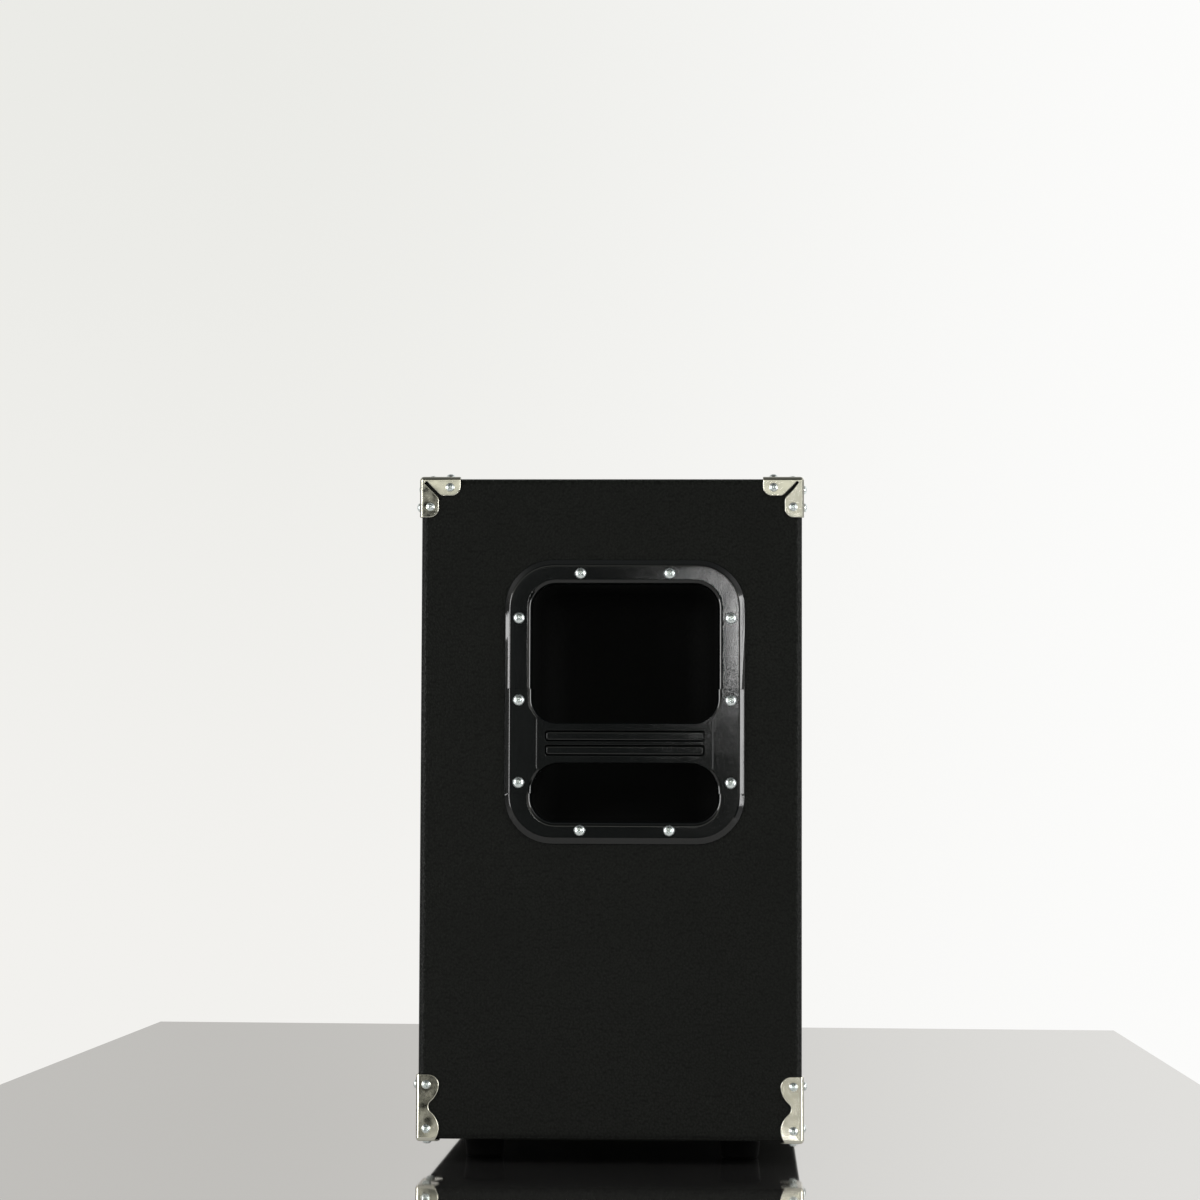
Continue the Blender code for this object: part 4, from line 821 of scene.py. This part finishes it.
def hand_opening(bottom, top, radius, bar_below):
    """One opening beside the grip, whose edge is rounded a little in front and well at the back."""
    half = OPEN_HALF - STEP_IN
    steps = [(RISE + 2, LIP, FRONT_ROUND)]
    steps += [(RISE - LIP * down, LIP * out, FRONT_ROUND * out) for out, down in rolled(1)]
    steps += [(BACK_ROUND_BAR * out - SIDE_DEPTH, 0, BACK_ROUND_BAR * down) for out, down in rolled(1)]
    steps.append((-SIDE_DEPTH - 2, 0, BACK_ROUND_BAR))
    rings = []
    for height, side, bar in steps:
        below, above = (bar, side) if bar_below else (side, bar)
        rings.append((height, -half - side, half + side, bottom - below, top + above, radius + side))
    return loft(rings)


def centred(width, height, middle=0):
    return -width / 2, width / 2, middle - height / 2, middle + height / 2


def stacked(profile, size, middle=BAR_MIDDLE, steps=10):
    """A closed stack of one rounded rectangle, of a width, a height and a corner radius."""
    width, height, corner = size
    return loft(levels(profile, centred(width, height, middle), corner), steps)


window_cut = [(PANEL, -0.3), (PANEL + 0.06, -0.06), (PANEL + 0.2, 0), (RISE - 0.62, 0.08),
              (RISE - 0.29, 0.29), (RISE - 0.08, 0.62), (RISE, 1.0), (RISE + 0.2, 2.0), (RISE + 3, 2.0)]
groove_cut = [(0.4, -1.3), (PANEL - 0.3, -0.02), (PANEL - 0.08, 0.1), (PANEL, 0.34), (PANEL + 0.2, 0.9),
              (PANEL + 3, 0.9)]
pad_edge = [(0.1, 0), (2.3, 0), (2.7, -0.18), (2.92, -0.5), (3.0, -1.1)]
bar_under = loft([(-SIDE_DEPTH - 2, *FLANGE, FLANGE_CORNER), *rim_rings])
bar = combined(upright(bar_section(0, RISE + 2), BAR_BOTTOM, BAR_TOP), bar_under, operation="INTERSECT")
bar = combined(
    bar,
    hand_opening(UPPER_BOTTOM, OPEN_TOP, OPEN_CORNER, True),
    hand_opening(OPEN_BOTTOM, LOWER_TOP, LOWER_CORNER, False),
    stacked(window_cut, WINDOW),
    *(stacked(groove_cut, GROOVE, middle) for middle in PAD_MIDDLES),
)
bar = combined(bar, *(stacked(pad_edge, PAD, middle, 8) for middle in PAD_MIDDLES), operation="UNION")
ops.rotate(bar, cent=(0, BAR_MIDDLE * MM, 0), matrix=Matrix.Rotation(math.radians(TIP), 3, "X"),
           verts=bar.verts)
print("bar:", len(bar.faces), "faces")

# %% [markdown]
# the plain cup and bar of the frame. Past a small depth the cup has its matt grit, and a darker, less glossy
# finish that is painted shade.

# %% Both handles
MATT_SHADE_DEPTH = 11 * MM
for side, word in SIDES:
    place = handle_place(side)
    made = piece(f"handle_cup_{word}", moved(cup.copy(), place), abs_plastic, [f"{word}_handle_cup"])
    made.data.materials.append(matt_shaded_abs)
    for face in made.data.polygons:
        face.material_index = int(abs(face.center.x) < HANDLE_X - MATT_SHADE_DEPTH)
    even_shading(made)
    even_shading(piece(f"handle_bar_{word}", moved(bar.copy(), place), abs_plastic, [f"{word}_handle_bar"]))
cup.free()
bar.free()

# %% [markdown]
# ## Screws
# Every fitting is held by zinc pan-head screws with a cross recess. The head is a profile spun about its
# axis, and the recess is two crossed wedges cut into it. Each is turned a different amount, as screws are.
# All screws of a fitting are one piece.

# %% Screw shape


def turned(profile, sides, hollow=False):
    """A shape turned about its Z axis, from (radius, height) points in millimetres."""
    bm = bmesh.new()
    corners = [bm.verts.new((radius * MM, 0, height * MM)) for radius, height in profile]
    edges = [bm.edges.new(pair) for pair in zip(corners, corners[1:])]
    if hollow:
        edges.append(bm.edges.new((corners[-1], corners[0])))
    ops.spin(bm, geom=corners + edges, cent=(0, 0, 0), axis=(0, 0, 1), angle=math.tau, steps=sides,
             use_merge=True)
    ops.remove_doubles(bm, verts=bm.verts, dist=1e-6)
    return outward(bm)


def pan_screw(head, rise, shank, length, sides=24):
    """A pan-head screw whose head sits on its origin's plane, in millimetres."""
    half = head / 2
    profile = [(0, rise), (half * 0.34, rise * 0.97), (half * 0.62, rise * 0.84), (half * 0.85, rise * 0.58),
               (half * 0.97, rise * 0.3), (half, rise * 0.12), (half * 0.96, 0), (shank / 2, 0),
               (shank / 2, -length + shank / 2), (0, -length)]
    arm, brim, floor = head * 0.29, rise + 0.5, rise - 1.9
    wedge = [(-arm, brim), (-arm * 0.5, floor), (arm * 0.5, floor), (arm, brim)]
    turns = [Matrix.Rotation(angle, 4, "Z") for angle in (0, math.pi / 2)]
    slots = [moved(prism(wedge, -0.5, 0.5), turn @ UPRIGHT) for turn in turns]
    return combined(turned(profile, sides), *slots)


def scattered(shape, places):
    """Copies of one shape at several places, in one mesh."""
    mesh = bpy.data.meshes.new("copy")
    shape.to_mesh(mesh)
    joined = bmesh.new()
    for number, place in enumerate(places):
        known = len(joined.verts)
        joined.from_mesh(mesh)
        joined.verts.ensure_lookup_table()
        turn = Matrix.Rotation(math.radians(37 * number % 90), 4, "Z")
        ops.transform(joined, matrix=place @ turn, verts=joined.verts[known:])
    bpy.data.meshes.remove(mesh)
    return joined


HEAD_GAP = 0.05
handle_screw = pan_screw(10.4, 3.1, 4.2, 16)
spots = [(x, z) for x in (-39.8, 39.8) for z in (-114.6, 114.6)]
spots += [(x, z) for x in (-94.6, 94.6) for z in (74.6, 1.3, -72.2)]
for side, word in SIDES:
    seats = [Matrix.Translation((x * MM, z * MM, (RISE + HEAD_GAP) * MM)) for x, z in spots]
    places = [handle_place(side) @ seat for seat in seats]
    piece(f"handle_screws_{word}", scattered(handle_screw, places), zinc)

# %% [markdown]
# ## Metal corners
# Each corner is sheet steel, cut flat, then folded over the three edges and pressed. A top corner has two
# round-ended legs on each face with a slot between them. A bottom corner has hourglass legs with a lobe at
# each end. The outlines are drawn on each face as thick plates and joined. Only what lies between a larger
# and a smaller rounded block is kept, which is the bent sheet itself. The press rolls the rims over, and the
# bevel that stands for this draws the bright line round every lobe.

# %% Corner shapes
OUT, CLEAR, FOLD, METAL = 1.8, 0.4, 3.5, 1.4
MARGIN, ZONE, REACH = OUT + 2, FOLD - OUT + 0.5, 110
SLOT_AT, SLOT_HALF, LOBE, WAIST = ZONE + 0.3, 1.84, 18.9, 6.2
TOP_LEG, TOP_WIDE, SPRING, RIM_ROLL = 35, 15.5, 0.022, 0.8


def unit(axis):
    return Vector([i == axis for i in range(3)])


def top_outline():
    """Two round-ended legs that mirror each other across the slot."""
    leg = [(TOP_LEG, -MARGIN), (TOP_LEG, TOP_WIDE, 8), (TOP_WIDE + SLOT_HALF, TOP_WIDE, 2),
           (SLOT_AT + SLOT_HALF, SLOT_AT)]
    return [(-MARGIN, -MARGIN), *leg, *[(y, x, *rounding) for x, y, *rounding in reversed(leg)]]


def bottom_outline():
    """An hourglass leg: a waist between two lobes."""
    return [(-MARGIN, -MARGIN), (57.5, -MARGIN), (57.5, LOBE, 9.4), (39.4, LOBE, 8.4), (29, WAIST, 7.5),
            (18.6, LOBE, 8.4), (2.2, LOBE, 6.5), (-MARGIN, 11.5)]


def on_face(outline, along, inward, number):
    """Lays an outline on a face of the corner, each a little thicker, so that no faces coincide."""
    ways = [unit(axis) for axis in (along, inward, 3 - along - inward)]
    spread = number * 0.1
    return moved(prism(outline, -MARGIN - spread, ZONE + spread), axes((0, 0, 0), *ways))


def sprung(bm):
    """Opens every leg about a degree, as a pressed corner's legs spring back. The cuts give the sheet edges
    to bend at: along two of its folds, at one end of the fold zone and across the diagonals."""
    cuts = [(Vector((0, 0, ZONE * MM)), unit(axis)) for axis in range(3)]
    cuts += [(Vector(), Vector(way)) for way in ((1, -1, 0), (0, 1, -1), (1, 0, -1))]
    for point, way in cuts:
        ops.bisect_plane(bm, geom=[*bm.verts, *bm.edges, *bm.faces], dist=1e-6, plane_co=point, plane_no=way)
    for vert in bm.verts:
        outer = min(range(3), key=lambda axis: vert.co[axis])
        reach = min(vert.co[axis] for axis in range(3) if axis != outer)
        vert.co[outer] -= SPRING * max(0.0, reach - ZONE * MM)
    return bm


def formed(outline, faces):
    """A folded corner with its apex at the origin and its legs along the positive axes."""
    plates = [on_face(outline, along, inward, number) for number, (along, inward) in enumerate(faces)]
    stock = combined(*plates, operation="UNION")
    stock = combined(stock, block((-OUT,) * 3, (REACH,) * 3, FOLD, 6), operation="INTERSECT")
    sheet = sprung(combined(stock, block((-CLEAR,) * 3, (REACH + 2,) * 3, FOLD - METAL, 6)))
    sheet.normal_update()
    rim = [edge for edge in sheet.edges if edge.is_manifold and edge.calc_face_angle() > math.radians(60)
           and all(min(vert.co) < -(CLEAR + OUT) / 2 * MM for vert in edge.verts)]
    bevelled(sheet, rim, RIM_ROLL * MM, 4, clamp_overlap=False)
    return sheet


top_corner = formed(top_outline(), ((1, 2), (2, 0), (0, 1)))
bottom_corner = formed(bottom_outline(), ((0, 2), (0, 1), (1, 2), (1, 0)))
print("corners:", len(top_corner.faces), "and", len(bottom_corner.faces), "faces")

# %% [markdown]
# Each corner is laid with its apex on a corner of the covering's box, and its screws go with it.

# %% Corners and their screws
BOX = {-1: low, 1: high}
TOP_HOLE, TOP_INSET = 25.5, 8
FAR_HOLE, NEAR_HOLE, INSET = 48.5, 9.5, 7.5
corner_screw = pan_screw(8.0, 2.7, 3.4, 6.5, 20)


def corner_place(side, face, level, order):
    """Where a corner goes. order says which way its own axes run: 0 across, 1 in depth, 2 in height."""
    inwards = (Vector((-side, 0, 0)), Vector((0, -face, 0)), Vector((0, 0, -level)))
    ways = [inwards[axis] for axis in order]
    if ways[0].cross(ways[1]).dot(ways[2]) < 0:
        ways[0], ways[1] = ways[1], ways[0]
    apex = [BOX[sign][axis] for axis, sign in enumerate((side, face, level))]
    return axes(apex, *ways)


def hole(along, inward, reach, inset_by):
    """A screw's place on one of the corner's faces, pointing out of it."""
    out_axis = 3 - along - inward
    position = Vector()
    position[along], position[inward], position[out_axis] = reach * MM, inset_by * MM, -(OUT + 0.15) * MM
    ways, out = [unit(along), unit(inward)], -unit(out_axis)
    if ways[0].cross(ways[1]).dot(out) < 0:
        ways.reverse()
    return axes(position, *ways, out)


top_holes = [hole(a, b, TOP_HOLE, TOP_INSET) for a in range(3) for b in range(3) if a != b]
bottom_holes = [hole(a, 2, reach, INSET) for a in (0, 1) for reach in (FAR_HOLE, NEAR_HOLE)]
bottom_holes += [hole(0, 1, FAR_HOLE, INSET), hole(1, 0, FAR_HOLE, INSET)]
for row, level, shape, holes, order in (
        ("top", 1, top_corner, top_holes, (0, 1, 2)), ("bottom", -1, bottom_corner, bottom_holes, (0, 2, 1))):
    places = []
    for side, word in SIDES:
        for face, end in ((-1, "front"), (1, "back")):
            place = corner_place(side, face, level, order)
            even_shading(piece(f"corner_{row}_{end}_{word}", moved(shape.copy(), place), nickel,
                               [f"{row}_corner_{end}_{word}"], crease=32))
            places += [place @ spot for spot in holes]
    piece(f"corner_screws_{row}", scattered(corner_screw, places), zinc)

# %% [markdown]
# ## Feet
# Four turned rubber feet keep the box off the floor, each with a recess for the screw and washer that hold
# it.

# %% Feet
FOOT = [(18.6, 20.7), (19, 20.2), (18.9, 19.4), (17.0, 3.0), (16.6, 1.4), (15.8, 0.4), (14.6, 0), (10, 0),
        (9.4, 0.2), (9, 0.8), (9, 11), (3, 11), (3, 20.7)]
for node in [f"foot_{end}_{word}" for end in ("front", "back") for word in ("left", "right")]:
    foot_low, foot_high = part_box(node)
    middle = (foot_low + foot_high) / 2
    place = Matrix.Translation((middle.x, middle.y, foot_low.z))
    piece(f"rubber_{node}", moved(turned(FOOT, 40, hollow=True), place), rubber, [node])

# %% [markdown]
# ## Grille
# The cloth is one sheet pulled over the frame and stapled behind it, so it is flat in front, rolls over the
# frame's edges and ends in a hem at the back. It is a bevelled box whose back is inset by the hem and
# opened. It rides on the grille, which pulls off the front.

# %% Grille cloth
low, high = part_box("grille_cloth")
CLOTH, HEM, CLOTH_EDGE = 0.7 * MM, 12 * MM, 1.3
skin = block(low / MM, high / MM, CLOTH_EDGE, 4)
skin.normal_update()
back = facing(skin, (0, 1, 0))
inset(skin, back, HEM - CLOTH_EDGE * MM, 0)
ops.delete(skin, geom=[back], context="FACES")
grille_skin = piece("grille_cloth_sheet", skin, cloth, ["grille_cloth"], body="grille")
thickened(grille_skin, CLOTH)

# %% [markdown]
# ## Back panel
# The back is a plywood panel in its own vinyl, screwed to the battens all round. The vinyl turns over its
# edges, so it is a shallow tray with rounded edges and an opening for the jack dish.

# %% Back covering
low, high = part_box("back_panel_covering")
DISH_Y, DISH_Z, SCREWS_OUT = 165.8, 375.5, 340.7


def on_back(origin):
    """Lays a shape on the back: its own Y up and its Z outwards."""
    return axes(origin, (-1, 0, 0), (0, 0, 1), (0, 1, 0))


tray = block(low / MM, high / MM, 1.8, 5)
tray.normal_update()
ops.delete(tray, geom=[facing(tray, (0, -1, 0))], context="FACES")
pierced(tray, facing(tray, (0, 1, 0)), centred(92, 58), 14, on_back((0, high.y, DISH_Z * MM)))
ops.recalc_face_normals(tray, faces=tray.faces)
thickened(piece("back_covering", tray, vinyl, ["back_panel_covering"]), SHEET)

back_screw = pan_screw(9.0, 3.0, 4.2, 20)
spots = [(x, z) for z in (50.3, 580.7) for x in (-SCREWS_OUT, 0, SCREWS_OUT)]
spots += [(x, 315.5) for x in (-SCREWS_OUT, SCREWS_OUT)]
places = [on_back((x * MM, high.y + HEAD_GAP * MM, z * MM)) for x, z in spots]
piece("back_screws", scattered(back_screw, places), zinc)

# %% [markdown]
# ## Jack dish
# The sockets sit in a moulded dish, so that plugs don't stand out. It is the same stack of rings as the
# handle's cup, only smaller, with two holes bored in its floor for the jacks.

# %% Jack dish
DISH, MOUTH, CORNER = centred(116, 82), centred(86, 52), 12
DISH_RISE, DISH_LIP, BORE, BORES_OUT = 2.5, 2.2, 5, 20
dish_edge = [(0, 0), (1.3, 0), (2.0, -0.2), (2.4, -0.7), (DISH_RISE, -1.4)]
dish_lip = [(DISH_RISE - down, out) for out, down in rolled(DISH_LIP, 6)]
dish_floor = [(-20, -3.4), (-23, -3.9), (-25, -4.8), (-25.8, -6), (-26, -7.5)]
dish_rings = [(-28.5, *grown(-1.5, MOUTH), 9), *levels([(-1, 2.5), (0, 2.5)], MOUTH, CORNER),
              *levels(dish_edge, DISH, CORNER), *levels(dish_lip + dish_floor, MOUTH, CORNER)]
bores = [block((x - BORE, -BORE, -40), (x + BORE, BORE, -20)) for x in (-BORES_OUT, BORES_OUT)]
for bore in bores:
    tall = [edge for edge in bore.edges if abs((edge.verts[1].co - edge.verts[0].co).z) > MM]
    bevelled(bore, tall, (BORE - 0.01) * MM, 8)
dish_place = on_back((0, DISH_Y * MM, DISH_Z * MM))
dish = combined(loft(dish_rings, 8), *bores)
even_shading(piece("jack_dish_moulding", moved(dish, dish_place), abs_plastic, ["jack_dish"]))
dish_screw = pan_screw(7.0, 2.4, 3.4, 12, 20)
seat = (DISH_RISE + HEAD_GAP) * MM
places = [dish_place @ Matrix.Translation((x * MM, z * MM, seat)) for x in (-50, 50) for z in (-33, 33)]
piece("jack_dish_screws", scattered(dish_screw, places), zinc)

# %% [markdown]
# ## Update
# The scene is brought up to date.

# %% Update
bpy.context.view_layer.update()
